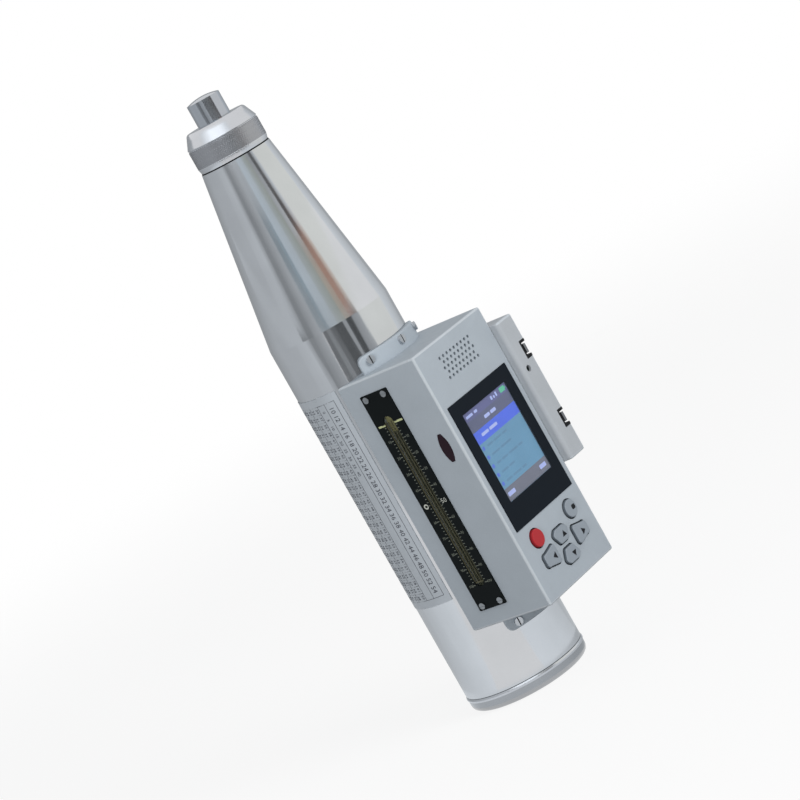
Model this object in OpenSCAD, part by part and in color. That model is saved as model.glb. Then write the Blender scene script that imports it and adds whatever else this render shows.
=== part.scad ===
// Concrete test hammer: a spring-driven rebound hammer with an electronics case on its side.
// Frame: origin at the centre of the rear face, +Z along the axis towards the plunger,
// +X out of the screen face, -Y out of the scale face. All sizes are in millimetres.

/* [Housing] */
// Outer diameter of the housing tube
tube_d = 54; // [52:0.5:58]
// Wall of the housing tube
tube_wall = 3; // [2.5:0.1:3.5]
// Height at which the tube turns into the cone
cone_base_z = 171.6; // [166:0.2:178]
// Diameter of the cone's front rim
cone_front_d = 31.2; // [30.6:0.1:34]
// Height of the rear cap's visible rim
rear_rim_h = 6.5; // [6:0.1:9]
// Radius of the rear cap's rounded edge
rear_round = 2.5; // [1:0.1:4]
// Thickness of the rear cap's floor
rear_floor = 6; // [5:0.1:6]
// Length of the rear cap's threaded spigot
rear_spigot_h = 5; // [3:0.1:6]
// Wall of the rear cap's threaded spigot
rear_spigot_wall = 4; // [2:0.1:5]

/* [Nose] */
// Diameter of the nose cap
cap_d = 31.6; // [30.6:0.1:34]
// Length of the nose cap outside the housing
cap_len = 16.6; // [16:0.1:20]
// Height of the nose cap's front chamfer
cap_chamfer_h = 6.2; // [4:0.1:7]
// Diameter of the nose cap's front face
cap_front_d = 26.2; // [24:0.1:28]
// Height of the nose cap's rear chamfer
cap_rear_chamfer = 1.2; // [0.5:0.1:2]
// Fine joint between cone and nose cap
nose_joint = 0.5; // [0.3:0.1:0.8]
// Length of the nose cap's threaded spigot
cap_spigot_h = 7.8; // [6:0.1:9]
// Length of the guide sleeve's flange
sleeve_h = 10; // [8:0.5:12]
// Length of the guide sleeve's spring spigot
sleeve_spigot_h = 8; // [5:0.5:10]
// Height of the split stop ring
split_ring_h = 4; // [3:0.1:4.5]
// Height of the felt seal
felt_h = 3.6; // [3:0.1:4]
// Radial width of the felt seal
felt_w = 2.5; // [2:0.1:3]

/* [Plunger and carriage] */
// Diameter of the impact plunger
plunger_d = 14.6; // [14:0.1:15]
// Length of plunger that stands out of the nose cap at rest
plunger_out = 11; // [9:0.1:13]
// Height of the plunger's crowned tip
plunger_crown = 1.2; // [0.8:0.1:2]
// Height of the plunger's rear collar
collar_h = 6; // [5:0.1:7]
// Radial width of the plunger's rear collar
collar_w = 1.3; // [1:0.1:1.6]
// Working travel of plunger, hammer mass and rider
travel = 75; // [74:0.5:76]
// Diameter of the guide bar
bar_d = 8.4; // [8:0.1:8.6]
// Length of guide bar inside the plunger
bar_reach = 24; // [20:1:30]
// Length of the buffer spring's room ahead of the guide bar
buffer_room = 32; // [28:1:36]
// Thickness of the guide disk
disk_h = 8; // [7:0.1:9]
// Length of the pressed compression spring
rear_spring_room = 11; // [10.6:0.1:12]
// Thickness of the pawl
pawl_t = 5; // [4:0.1:5.5]
// Angle by which the pawl swings clear of the hammer mass
pawl_swing = 12; // [11:0.5:13]
// Diameter of the pawl's hinge pin
pawl_pin_d = 2.4; // [2:0.1:2.6]

/* [Hammer mass] */
// Diameter of the hammer mass
hammer_d = 30; // [28:0.2:30.4]
// Length of the hammer mass's full-diameter stretch
hammer_body_len = 41; // [39:0.5:43]
// Length of the hammer mass's front spigot
hammer_spigot_h = 7.7; // [6:0.1:9]
// Diameter of the hammer mass's rear lip
lip_d = 22; // [21.8:0.1:22.2]
// Height of the hammer mass's rear lip
lip_h = 4; // [3:0.1:5]
// Diameter of the neck ahead of the lip
neck_d = 18; // [17:0.1:18.4]
// Length of the neck ahead of the lip
neck_h = 8; // [7:0.1:9]

/* [Springs] */
// Wire of the impact spring
impact_wire = 2.2; // [2:0.1:2.3]
// Curls of the impact spring
impact_turns = 12; // [8:1:14]
// Wire of the compression spring
rear_wire = 1.2; // [1:0.1:1.3]
// Curls of the compression spring
rear_turns = 5; // [4:1:5]
// Mean diameter of the compression spring
rear_spring_d = 34; // [32:0.2:35]
// Wire of the buffer spring
buffer_wire = 1; // [0.8:0.1:1.2]
// Curls of the buffer spring
buffer_turns = 10; // [6:1:12]
// Wire of the lock button's spring
button_wire = 0.5; // [0.4:0.05:0.6]
// Curls of the lock button's spring
button_turns = 3; // [2:1:3]

/* [Lock button and trip screw] */
// Diameter of the lock button's head
button_d = 8.4; // [8:0.1:9]
// Diameter of the lock button's pin
button_pin_d = 4; // [3.5:0.1:4.2]
// Travel of the lock button
button_travel = 2.5; // [2:0.1:2.8]
// Height of the button's head above its bush
button_proud = 3.2; // [3:0.1:5]
// Height of the button's bush above the tube
bush_proud = 4; // [3.5:0.1:5]
// Diameter of the trip screw
trip_d = 4; // [3.5:0.1:4]
// Distance of the trip screw from the axis
trip_x = 10.5; // [10.2:0.1:10.8]
// Depth of the trip screw's recess in the rear face
trip_recess = 3; // [2.6:0.1:3.2]

/* [Case] */
// Margin of the case beside the display bezel
bezel_margin = 3.45; // [3:0.05:4]
// Length of the electronics case
case_len = 114.1; // [112:0.1:116]
// Height of the case's rear end above the rear face
case_z = 34.3; // [33:0.1:36]
// Distance of the screen face from the hammer's axis
screen_x = 51.95; // [50.5:0.1:55]
// Wall of the case
case_wall = 2; // [1.8:0.1:2.2]
// Thickness of the front panel
panel_t = 2.5; // [2.2:0.1:3]
// Corner radius of the front panel
panel_round = 1.2; // [0.6:0.1:2]
// Length of the saddle's flanges
lug_len = 7; // [6.5:0.1:8]
// Width of a flange's rounded end, round its outer screw
lug_w = 10.8; // [9:0.1:12]
// Thickness of the saddle's flanges
lug_t = 2.2; // [1.8:0.1:2.6]
// Angle between neighbouring flange screws
lug_angle = 34; // [31:0.5:36]
// Diameter of the flange screws' shanks
lug_screw_d = 2.1; // [2:0.1:2.4]
// Diameter of the flange screws' heads
lug_head_d = 3.6; // [3.4:0.1:4]

/* [Scale and rider] */
// Width of the scale plate
plate_w = 14.7; // [14.2:0.1:15.4]
// Length of the scale plate
plate_len = 100; // [98:0.5:102]
// Distance of the scale plate's centre line from the hammer's axis
plate_x = 25.1; // [24.8:0.1:25.4]
// Thickness of the scale plate
plate_t = 0.6; // [0.5:0.1:0.8]
// Width of the scale plate's slot
slot_w = 5; // [4.6:0.1:5.2]
// Diameter of the scale screws' heads
scale_head_d = 2.8; // [2.6:0.1:3.4]
// Height of the scale screws' heads
scale_head_h = 0.4; // [0.3:0.05:0.8]
// Distance of the scale screws from the plate's sides
scale_screw_in = 2.4; // [2:0.1:2.5]
// Distance of the scale screws from the plate's ends
scale_screw_end = 1.95; // [1.9:0.05:3]
// Diameter of the rider's guide rod
rod_d = 3; // [2.6:0.1:3.2]
// Length of the rider
rider_len = 9; // [8:0.1:9.4]
// Thickness of the clear scale window
window_t = 0.8; // [0.6:0.1:0.9]
// Length of the infrared window
ir_len = 12.4; // [10:0.1:13]
// Width of the infrared window
ir_w = 4.8; // [4:0.1:6]
// Infrared window: length of its two arcs before the ends are cut, times its length
ir_point = 1.18; // [1.1:0.02:1.4]

/* [Screen face] */
// Width of the display bezel
bezel_w = 44.2; // [43:0.1:45]
// Height of the display bezel
bezel_h = 57; // [55:0.1:58]
// Distance of the bezel's lower edge from the case's rear end
bezel_off = 32.2; // [31:0.1:33]
// Thickness of the display bezel
bezel_t = 0.8; // [0.6:0.1:1]
// Width of the screen
lcd_w = 33; // [31:0.1:34]
// Height of the screen
lcd_h = 40; // [38:0.1:41]
// Distance of the screen's lower edge from the bezel's lower edge
lcd_off = 11; // [10:0.1:12]
// Diameter of the round keys
key_d = 7.8; // [7.2:0.1:8]
// Height of the keys above the screen face
key_proud = 1.2; // [1:0.1:1.8]
// Travel of the keys
key_travel = 0.8; // [0.5:0.05:0.9]
// Distance of the round keys from the case's rear end
key_row_off = 25; // [24.5:0.1:26]
// Distance of the round keys from the screen face's centre line
key_row_side = 13.3; // [12.8:0.1:13.6]
// Distance of the arrow pad from the case's rear end
pad_off = 15; // [14.5:0.1:15.2]
// Reach of the arrow pad's side keys
pad_reach = 16.9; // [16:0.1:17.2]
// Reach of the arrow pad's upper and lower keys
pad_height = 7.8; // [7.2:0.1:8]
// Distance of the sound holes' middle from the case's front end
grille_off = 11.4; // [10.5:0.1:12]
// Diameter of the speaker's sound holes
grille_hole_d = 1.4; // [1:0.1:1.6]
// Distance between neighbouring sound holes along a row
grille_pitch = 2.7; // [2.5:0.1:2.9]
// Distance between rows of sound holes
grille_row = 2.2; // [2:0.1:2.4]

/* [Side module] */
// Width of the side module
module_w = 10.8; // [10.4:0.1:12]
// Length of the side module
module_len = 63.8; // [62:0.1:66]
// Height of the side module above the screen face
module_proud = 3.9; // [3:0.1:4.5]
// Depth of the side module behind the screen face
module_deep = 32; // [30:0.5:34]
// Distance of the side module's rear end from the case's rear end
module_off = 40.9; // [40:0.1:42]
// Wall of the side module
module_wall = 1.8; // [1.5:0.1:2]
// Length of the sockets
socket_len = 8; // [7:0.1:8.4]
// Width of the sockets
socket_w = 4.3; // [4:0.1:4.6]
// Diameter of the status lamp
lamp_d = 2.8; // [2.4:0.1:3]

/* [Inside the case] */
// Thickness of the battery pack
battery_t = 9; // [7:0.1:9.4]
// Width of the battery pack
battery_w = 25.5; // [20:0.5:27]
// Length of the battery pack
battery_len = 61; // [50:1:64]
// Depth of the speaker
speaker_h = 5; // [4:0.1:6]
// Thickness of the circuit boards
board_t = 1.6; // [1.2:0.1:2]
// Room between the front panel and the main board
board_room = 7.8; // [7.4:0.1:8.4]
// Thickness of the display module behind the front panel
display_t = 3; // [2:0.1:4]

/* [Hidden] */
$fn = 96;
// Play of a running or sliding fit, on the radius
fit = 0.08;
// Play between fixed pieces that fit into each other
seat = 0.1;
// Play beside pieces that pass each other freely
free = 0.3;

tube_r = tube_d / 2;
tube_ri = tube_r - tube_wall;
plunger_r = plunger_d / 2;
collar_r = plunger_r + collar_w;
bar_r = bar_d / 2;
hammer_r = hammer_d / 2;
lip_r = lip_d / 2;
cap_r = cap_d / 2;
cone_front_r = cone_front_d / 2;

// Heights along the axis, from the rear cap to the plunger's tip
disk_z = rear_floor + rear_spring_room;
disk_top = disk_z + disk_h;
pawl_pin_z = disk_top + 3;
hook_z = pawl_pin_z + 6.9;
hook_h = 3.5;
hook_play = 0.9;
lip_top = hook_z + travel - hook_play;
hammer_z = lip_top - lip_h;
body_z = lip_top + neck_h;
shoulder_z = body_z + hammer_body_len;
hammer_top = shoulder_z + hammer_spigot_h;
collar_z = hammer_top + free;
collar_top = collar_z + collar_h;
stop_z = collar_top + travel + nose_joint;
cone_front_z = stop_z + nose_joint;
cap_z = cone_front_z + nose_joint;
cap_top = cap_z + cap_len;
tip_z = cap_top + plunger_out;
sleeve_z = cone_front_z - cap_spigot_h - sleeve_h;
sleeve_back = sleeve_z - sleeve_spigot_h;
bar_top = collar_top + bar_reach;

// Radii of the nose, from the sleeve's bore outwards
// A helix of 8 rings a curl comes nearer to its axis between two rings
sleeve_bore_r = collar_r + free;
spring_in_r = sleeve_bore_r + 1.3;
impact_mean_r = (spring_in_r + impact_wire / 2) / cos(22.5);
spring_lip_r = impact_mean_r + impact_wire / 2 + free;
nose_bore_r = spring_lip_r + 0.4;
nose_spigot_r = nose_bore_r - seat;
spigot_seat_r = spring_in_r - free;

// The pawl's hinge and hook, on the +X side of the guide disk
hook_tip_x = neck_d / 2 + 0.8;
arm_x = lip_r + 1.3;
pawl_x = arm_x + 3.7;
pawl_hub_r = pawl_pin_d / 2 + 1.4;
ear_t = 2.5;
ear_w = 2 * pawl_hub_r + 1;
ear_y = pawl_t / 2 + free;
tail_z = disk_z + 0.5;

// Case planes
case_w = bezel_w + 2 * bezel_margin;
case_y = case_w / 2;
case_top = case_z + case_len;
panel_x = screen_x - panel_t;
inner_y = case_y - case_wall;
end_wall = case_wall + 0.5;
saddle_r = tube_r + seat;
lug_r = saddle_r + lug_t;
lug_screw_off = lug_len * 0.62;
lug_screw_r = lug_screw_d / 2;
lug_polars = [-lug_angle, 0, lug_angle];

// Scale, rider and rod
plate_z = case_z + (case_len - plate_len) / 2 + 0.4;
slot_z = plate_z + (plate_len - travel) / 2 - 1.5;
slot_top = slot_z + travel + 3;
zero_z = slot_top - 3;
rod_x = plate_x;
rod_y = -(inner_y - 3);
rod_r = rod_d / 2;
rod_polar = atan2(rod_y, rod_x);
rider_w = 8;
rider_t = 5.3;
rider_y = -inner_y + free;
leg_w = 3;
leg_len = 6;
leg_tip_r = hammer_r + 0.4;
leg_root_r = norm([rod_x, rod_y]) - rod_r - 0.5;
wall_slot_w = slot_w + 0.4;
window_w = slot_w + 2.4;
window_z = slot_z - leg_len / 2 - 2;
window_len = slot_top - slot_z + leg_len + 4;
ir_x = screen_x - 7.5;
ir_z = case_z + 75.4;

// Screen face layout: centres are [y, z]
bezel_z = case_z + bezel_off;
lcd_z = bezel_z + lcd_off;
bezel_x = screen_x - bezel_t / 2;
red_at = [-key_row_side, case_z + key_row_off];
round_at = [key_row_side, case_z + key_row_off];
pad_at = [0.4, case_z + pad_off];
pad_near = 1.1;
pad_gap = pad_near + 6.1;
grille_at = [-0.3, case_top - grille_off];
key_flange = 0.8;
key_back_x = panel_x - free - key_flange;
key_gap = 0.45;
mat_t = 1;
mat_x = key_back_x - key_travel - mat_t - 0.2;
mat_rim = 1;
mat_low = case_z + 4.2;
mat_high = bezel_z - 0.5;
key_reach = max(key_row_side + key_d / 2, pad_at[0] + pad_reach);
mat_y = key_reach + key_flange + free + mat_rim;
board_x = panel_x - board_room - board_t;
post_r = 2;
post_y = inner_y - post_r - 0.5;
post_low = bezel_z + 1.8;
post_high = bezel_z + bezel_h + 1.8;

// Side module
module_y = case_y + module_w;
module_z = case_z + module_off;
module_top = module_z + module_len;
module_x = screen_x - module_deep;
module_face = screen_x + module_proud;
module_front_wall = module_proud + 1.4;
socket_deep = module_proud;
socket_heights = [module_z + module_len * 0.248, module_z + module_len * 0.754];
lamp_at = [case_y + module_w * 0.38, module_z + module_len * 0.641];
side_screw_r = 1.2;
side_column_r = 3;
side_screw_in = 5;
side_head_r = 2.3;
side_head_h = 1.2;

// Ring or disc on the hammer's axis
module ring(r_out, r_in, z, h) {
  translate([0, 0, z])
    difference() {
      cylinder(r = r_out, h = h);
      translate([0, 0, -1]) cylinder(r = r_in, h = h + 2);
    }
}

// Sheet in the YZ plane: its outline is given as [y, z], and it grows along +X
module slab_x(x, t) {
  translate([x, 0, 0]) rotate([90, 0, 90]) linear_extrude(t) children();
}

// Sheet in the XZ plane: its outline is given as [x, z], and it grows along -Y
module slab_y(y, t) {
  translate([0, y, 0]) rotate([90, 0, 0]) linear_extrude(t) children();
}

// Puts a child's +Z along the radius at a polar angle and a height
module radial(polar, z, r) {
  rotate([0, 0, polar]) translate([r, 0, z]) rotate([0, 90, 0]) children();
}

// Rectangle with round corners, from its low corner
module round_rect(low, size, r) {
  translate(low) {
    translate([r, 0]) square([size[0] - 2 * r, size[1]]);
    translate([0, r]) square([size[0], size[1] - 2 * r]);
    for (x = [r, size[0] - r], y = [r, size[1] - r]) translate([x, y]) circle(r);
  }
}

// Slot with round ends along its second axis
module round_slot(centre_x, low, high, w) {
  translate([centre_x - w / 2, low + w / 2]) square([w, high - low - w]);
  for (y = [low + w / 2, high - w / 2]) translate([centre_x, y]) circle(w / 2);
}

// Points of a helix round the Z axis, with 8 to each curl
function helix(r, z, h, turns) =
  [for (i = [0 : turns * 8]) [r * cos(i * 45), r * sin(i * 45), z + h * i / (turns * 8)]];

// Least distance between two points of a helix that are half a curl or more apart
function least_span(p) =
  min([for (i = [0 : len(p) - 5]) for (j = [i + 4 : len(p) - 1]) norm(p[i] - p[j])]);

// Helical spring between two heights, as one tube of six sides
module spring(name, mean_r, wire, z, h, turns) {
  sides = 6;
  path = helix(mean_r, z + wire / 2, h - wire, turns);
  rings = len(path);
  echo(str(name, ": least gap to itself ", least_span(path) - wire, " mm"));
  points = [
    for (i = [0 : rings - 1]) for (k = [0 : sides - 1])
      path[i] + wire / 2 * [
        cos(i * 45) * cos(k * 60), sin(i * 45) * cos(k * 60), sin(k * 60)
      ]
  ];
  function at(i, k) = i * sides + k % sides;
  walls = [
    for (i = [0 : rings - 2]) for (k = [0 : sides - 1]) each [
      [at(i, k), at(i, k + 1), at(i + 1, k + 1)],
      [at(i, k), at(i + 1, k + 1), at(i + 1, k)]
    ]
  ];
  ends = [
    for (k = [1 : sides - 2]) each [
      [at(0, 0), at(0, k + 1), at(0, k)],
      [at(rings - 1, 0), at(rings - 1, k), at(rings - 1, k + 1)]
    ]
  ];
  polyhedron(points, concat(walls, ends), convexity = 10);
}

// Round-headed screw along +Z: its head stands on z = 0
module pan_screw(shank_r, shank_len, head_r, head_h) {
  difference() {
    cylinder(r = head_r, h = head_h);
    translate([-head_r, -0.25, head_h / 2]) cube([2 * head_r, 0.5, head_h]);
  }
  translate([0, 0, -shank_len]) cylinder(r = shank_r, h = shank_len + 0.01);
}

module housing_tube() {
  color("silver")
    difference() {
      rotate_extrude()
        polygon([
          [tube_ri, rear_rim_h], [tube_r, rear_rim_h], [tube_r, cone_base_z],
          [cone_front_r, cone_front_z], [nose_bore_r, cone_front_z], [nose_bore_r, sleeve_z],
          [spring_lip_r, sleeve_z], [spring_lip_r, sleeve_z - 2], [tube_ri, cone_base_z]
        ]);
      rotate([0, 0, rod_polar])
        translate([tube_ri - 2, -leg_w / 2 - 2 * free, zero_z - travel - leg_len / 2 - 1])
          cube([tube_wall + 6, leg_w + 4 * free, travel + leg_len + 2]);
      for (polar = lug_polars, z = [case_top + lug_screw_off, case_z - lug_screw_off])
        radial(polar, z, tube_ri - 2) cylinder(r = lug_screw_r + fit, h = tube_wall + 4);
      radial(button_polar, button_z, tube_ri - 2) cylinder(r = bush_r + seat, h = tube_wall + 6);
    }
}

module nose_cap() {
  color("gainsboro")
    rotate_extrude()
      polygon([
        [sleeve_bore_r, cap_z - cap_spigot_h], [nose_spigot_r, cap_z - cap_spigot_h],
        [nose_spigot_r, cap_z], [cap_r - cap_rear_chamfer / 2, cap_z],
        [cap_r, cap_z + cap_rear_chamfer], [cap_r, cap_top - cap_chamfer_h],
        [cap_front_d / 2, cap_top], [plunger_r + fit, cap_top],
        [plunger_r + fit, felt_z + felt_h + seat], [felt_r + seat, felt_z + felt_h + seat],
        [felt_r + seat, felt_z - seat], [plunger_r + fit, felt_z - seat],
        [plunger_r + fit, stop_z + split_ring_h], [sleeve_bore_r, stop_z + split_ring_h]
      ]);
}

felt_z = stop_z + split_ring_h + 4;
felt_r = plunger_r + felt_w;

module felt_seal() {
  color("dimgray") ring(felt_r, plunger_r + free, felt_z, felt_h);
}

module split_ring() {
  color("darkgray")
    difference() {
      ring(sleeve_bore_r - seat, plunger_r + free, stop_z, split_ring_h);
      translate([-cap_r, -0.3, stop_z - 1]) cube([cap_d, 0.6, split_ring_h + 2]);
    }
}

module guide_sleeve() {
  color("darkgray") {
    ring(nose_spigot_r, sleeve_bore_r, sleeve_z, sleeve_h);
    ring(spigot_seat_r, sleeve_bore_r, sleeve_back, sleeve_spigot_h);
  }
}

module impact_spring() {
  color("slategray")
    spring("impact spring", impact_mean_r, impact_wire, shoulder_z + free,
      sleeve_z - shoulder_z - 2 * free, impact_turns);
}

module impact_plunger() {
  crown_r = (plunger_r * plunger_r + plunger_crown * plunger_crown) / (2 * plunger_crown);
  color("lightsteelblue")
    difference() {
      union() {
        intersection() {
          translate([0, 0, collar_z]) cylinder(r = plunger_r, h = tip_z - collar_z);
          translate([0, 0, tip_z - crown_r]) sphere(r = crown_r);
        }
        translate([0, 0, collar_z])
          cylinder(r = plunger_r, h = tip_z - 4 * plunger_crown - collar_z);
        translate([0, 0, collar_z]) cylinder(r = collar_r, h = collar_h);
      }
      translate([0, 0, collar_z - 1])
        cylinder(r = bar_r + seat, h = bar_top + buffer_room - collar_z + 1);
    }
}

module buffer_spring() {
  color("slategray")
    spring("buffer spring", bar_r - buffer_wire / 2 - free, buffer_wire, bar_top + seat,
      buffer_room - 2 * seat, buffer_turns);
}

bar_shoulder_h = 2;
nut_h = 4;

module guide_bar() {
  color("lightgray") {
    translate([0, 0, disk_z - nut_h]) cylinder(r = bar_r, h = bar_top - disk_z + nut_h);
    translate([0, 0, disk_top]) cylinder(r = bar_r + 1.6, h = bar_shoulder_h);
  }
}

module bar_nut() {
  color("gray")
    difference() {
      translate([0, 0, disk_z - nut_h + 0.4]) cylinder(d = bar_d + 3.4, h = nut_h - 0.4, $fn = 6);
      translate([0, 0, disk_z - nut_h]) cylinder(r = bar_r + seat / 2, h = nut_h + 1);
    }
}

module guide_disk() {
  slot_in = bar_r + 2.2;
  slot_out = pawl_x + pawl_hub_r + 1.2;
  color("darkgray")
    difference() {
      union() {
        translate([0, 0, disk_z]) cylinder(r = tube_ri - fit, h = disk_h);
        for (side = [-1, 1])
          translate([pawl_x - ear_w / 2, side * (ear_y + ear_t / 2) - ear_t / 2, disk_top - 1])
            cube([ear_w, ear_t, pawl_pin_z + pawl_hub_r - disk_top + 1]);
      }
      translate([0, 0, disk_z - 1]) cylinder(r = bar_r + seat / 2, h = disk_h + 2);
      translate([slot_in, -ear_y, disk_z - 1]) cube([slot_out - slot_in, 2 * ear_y, disk_h + 2]);
      for (polar = [110, 180, 250])
        rotate([0, 0, polar]) translate([tube_ri * 0.6, 0, disk_z - 1])
          cylinder(r = 3, h = disk_h + 2);
      translate([pawl_x, -ear_y - ear_t - 1, pawl_pin_z]) rotate([-90, 0, 0])
        cylinder(d = pawl_pin_d + seat, h = 2 * (ear_y + ear_t + 1));
    }
}

// Turns the pawl's shut outline to the swung-out place that it has at rest
module pawl_at_rest() {
  translate([pawl_x, 0, pawl_pin_z]) rotate([0, pawl_swing, 0]) children();
}

module pawl() {
  tip_x = hook_tip_x - pawl_x;
  in_x = arm_x - pawl_x;
  out_x = in_x + 3.2;
  hook_low = hook_z - pawl_pin_z;
  tail_low = tail_z - pawl_pin_z;
  tail_in = trip_x - 1.3 - pawl_x;
  color("dimgray")
    pawl_at_rest()
      difference() {
        slab_y(pawl_t / 2, pawl_t) {
          circle(pawl_hub_r);
          polygon([
            [out_x, -0.5], [out_x, hook_low + hook_h], [tip_x, hook_low + hook_h],
            [tip_x, hook_low], [in_x, hook_low], [in_x, 0],
            [tail_in, tail_low + 3], [tail_in, tail_low], [tail_in + 2.6, tail_low],
            [-0.6, -pawl_hub_r + 0.2]
          ]);
        }
        translate([0, -pawl_t, 0]) rotate([-90, 0, 0])
          cylinder(d = pawl_pin_d + fit, h = 2 * pawl_t);
      }
}

module pawl_pin() {
  color("lightgray")
    translate([pawl_x, -ear_y - ear_t, pawl_pin_z]) rotate([-90, 0, 0])
      cylinder(d = pawl_pin_d, h = 2 * (ear_y + ear_t));
}

// Leaf that presses the pawl shut, standing on the guide disk outside the pawl's arm
module pawl_spring() {
  leaf_x = pawl_x + pawl_hub_r + 1.9;
  color("goldenrod")
    slab_y(pawl_t / 2 - 0.5, pawl_t - 1)
      polygon([
        [leaf_x, disk_top], [leaf_x + 1.6, disk_top], [leaf_x + 0.6, hook_z],
        [leaf_x + 0.2, hook_z]
      ]);
}

module hammer_mass() {
  color("gray")
    difference() {
      union() {
        translate([0, 0, hammer_z]) cylinder(r = lip_r, h = lip_h);
        translate([0, 0, hammer_z]) cylinder(d = neck_d, h = body_z - hammer_z + 1);
        translate([0, 0, body_z]) cylinder(r = hammer_r, h = hammer_body_len);
        translate([0, 0, body_z]) cylinder(r = spigot_seat_r, h = hammer_top - body_z);
      }
      translate([0, 0, hammer_z - 1]) cylinder(r = bar_r + fit, h = hammer_top - hammer_z + 2);
    }
}

module compression_spring() {
  color("slategray")
    spring("compression spring", rear_spring_d / 2, rear_wire, rear_floor + free,
      rear_spring_room - 2 * free, rear_turns);
}

trip_boss_r = trip_d / 2 + 2;
trip_boss_h = 4;
trip_tip_z = tail_z - 2;

module rear_cap() {
  color("gainsboro")
    difference() {
      union() {
        rotate_extrude() {
          square([tube_r - rear_round, rear_floor]);
          translate([0, rear_round]) square([tube_r, rear_floor - rear_round]);
          translate([tube_r - rear_round, rear_round]) circle(rear_round);
        }
        ring(tube_r, tube_ri - rear_spigot_wall, rear_floor - 0.5, rear_rim_h - rear_floor + 0.5);
        ring(tube_ri - seat, tube_ri - rear_spigot_wall, rear_floor - 0.5,
          rear_rim_h + rear_spigot_h - rear_floor + 0.5);
        translate([trip_x, 0, rear_floor - 0.5]) cylinder(r = trip_boss_r, h = trip_boss_h + 0.5);
      }
      translate([trip_x, 0, -1]) cylinder(r = trip_d + 2, h = trip_recess + 1);
      translate([trip_x, 0, -1])
        cylinder(r = trip_d / 2 + seat / 2, h = rear_floor + trip_boss_h + 2);
    }
}

module trip_screw() {
  low = 0.5;
  color("silver")
    translate([trip_x, 0, low])
      difference() {
        cylinder(d = trip_d, h = trip_tip_z - low);
        translate([-trip_d, -0.4, -1]) cube([2 * trip_d, 0.8, 2]);
      }
}

module trip_lock_nut() {
  color("gray")
    translate([trip_x, 0, trip_recess - 2])
      difference() {
        cylinder(d = trip_d + 4, h = 2, $fn = 6);
        translate([0, 0, -1]) cylinder(r = trip_d / 2 + seat / 2, h = 4);
      }
}

// The lock button works along +Y, on the side away from the scale
button_polar = 90;
button_z = disk_top + free + button_pin_d / 2;
button_r = button_d / 2;
bush_r = button_r + 1.3;
bush_in = tube_ri + seat;
bush_out = tube_r + bush_proud;
bush_floor = bush_in + 1.4;
button_head_low = bush_floor + button_travel + 1.6;

module lock_button() {
  color("firebrick") {
    radial(button_polar, button_z, button_head_low)
      cylinder(r = button_r, h = bush_out + button_proud - button_head_low);
    radial(button_polar, button_z, bush_in + seat)
      cylinder(d = button_pin_d, h = button_head_low - bush_in);
  }
}

module button_bush() {
  color("silver")
    radial(button_polar, button_z, 0)
      difference() {
        translate([0, 0, bush_in]) cylinder(r = bush_r, h = bush_out - bush_in);
        translate([0, 0, bush_floor]) cylinder(r = button_r + fit, h = bush_out);
        cylinder(r = button_pin_d / 2 + fit, h = bush_out);
      }
}

module button_spring() {
  mean_r = button_pin_d / 2 + button_wire / 2 + 0.5;
  color("slategray")
    radial(button_polar, button_z, bush_floor + seat)
      spring("button spring", mean_r, button_wire, 0,
        button_head_low - bush_floor - 2 * seat, button_turns);
}

// Curved flange on the tube beyond the case's end wall, grown along +Z from z = 0 on the +X
// side: a sector between the outer screws, and a tongue with round corners round each of them
module flange() {
  end_r = 3;
  reach = 2 * lug_r;
  intersection() {
    ring(lug_r, tube_r - 2, -1, lug_len + 1);
    union() {
      translate([0, 0, -1])
        linear_extrude(lug_len + 1)
          polygon([[0, 0], [reach * cos(lug_angle), -reach * sin(lug_angle)],
            [reach, 0], [reach * cos(lug_angle), reach * sin(lug_angle)]]);
      for (polar = [-lug_angle, lug_angle])
        rotate([0, 0, polar])
          slab_x(tube_r * 0.6, tube_r) {
            translate([-lug_w / 2, -1]) square([lug_w, lug_len - end_r + 1]);
            translate([-lug_w / 2 + end_r, 0]) square([lug_w - 2 * end_r, lug_len]);
            for (side = [-1, 1])
              translate([side * (lug_w / 2 - end_r), lug_len - end_r]) circle(end_r);
          }
    }
  }
}

module case_shell() {
  color("lightslategray")
    difference() {
      union() {
        difference() {
          translate([0, -case_y, case_z]) cube([panel_x, case_w, case_len]);
          translate([-1, -inner_y, case_z + end_wall])
            cube([panel_x + 2, 2 * inner_y, case_len - 2 * end_wall]);
        }
        translate([0, 0, case_top]) flange();
        translate([0, 0, case_z]) mirror([0, 0, 1]) flange();
      }
      translate([0, 0, case_z - lug_len - 1])
        cylinder(r = saddle_r, h = case_len + 2 * lug_len + 2);
      for (polar = lug_polars, z = [case_top + lug_screw_off, case_z - lug_screw_off])
        radial(polar, z, tube_r - 1) cylinder(r = lug_screw_r + fit, h = lug_t + 3);
      slab_y(-case_y + window_t + seat, window_t + 1)
        translate([plate_x - window_w / 2 - seat, window_z - seat])
          square([window_w + 2 * seat, window_len + 2 * seat]);
      slab_y(-inner_y + 1, case_wall + 2)
        translate([plate_x - wall_slot_w / 2, window_z + 1]) square([wall_slot_w, window_len - 2]);
      slab_y(-inner_y + 1, case_wall + 2) infrared_outline(seat);
      for (x = scale_screw_xs, z = scale_screw_zs)
        translate([x, -inner_y + 1, z]) rotate([90, 0, 0])
          cylinder(r = scale_screw_r + fit, h = case_wall + 2);
      for (x = side_screw_xs, z = side_screw_zs)
        translate([x, inner_y - 1, z]) rotate([-90, 0, 0])
          cylinder(r = side_screw_r + fit, h = case_wall + 2);
      translate([rod_x, rod_y, rod_low]) cylinder(r = rod_r + seat / 2, h = rod_high - rod_low);
    }
}

rod_low = case_z + end_wall - 1.5;
rod_high = case_top - end_wall + 1.5;

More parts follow.
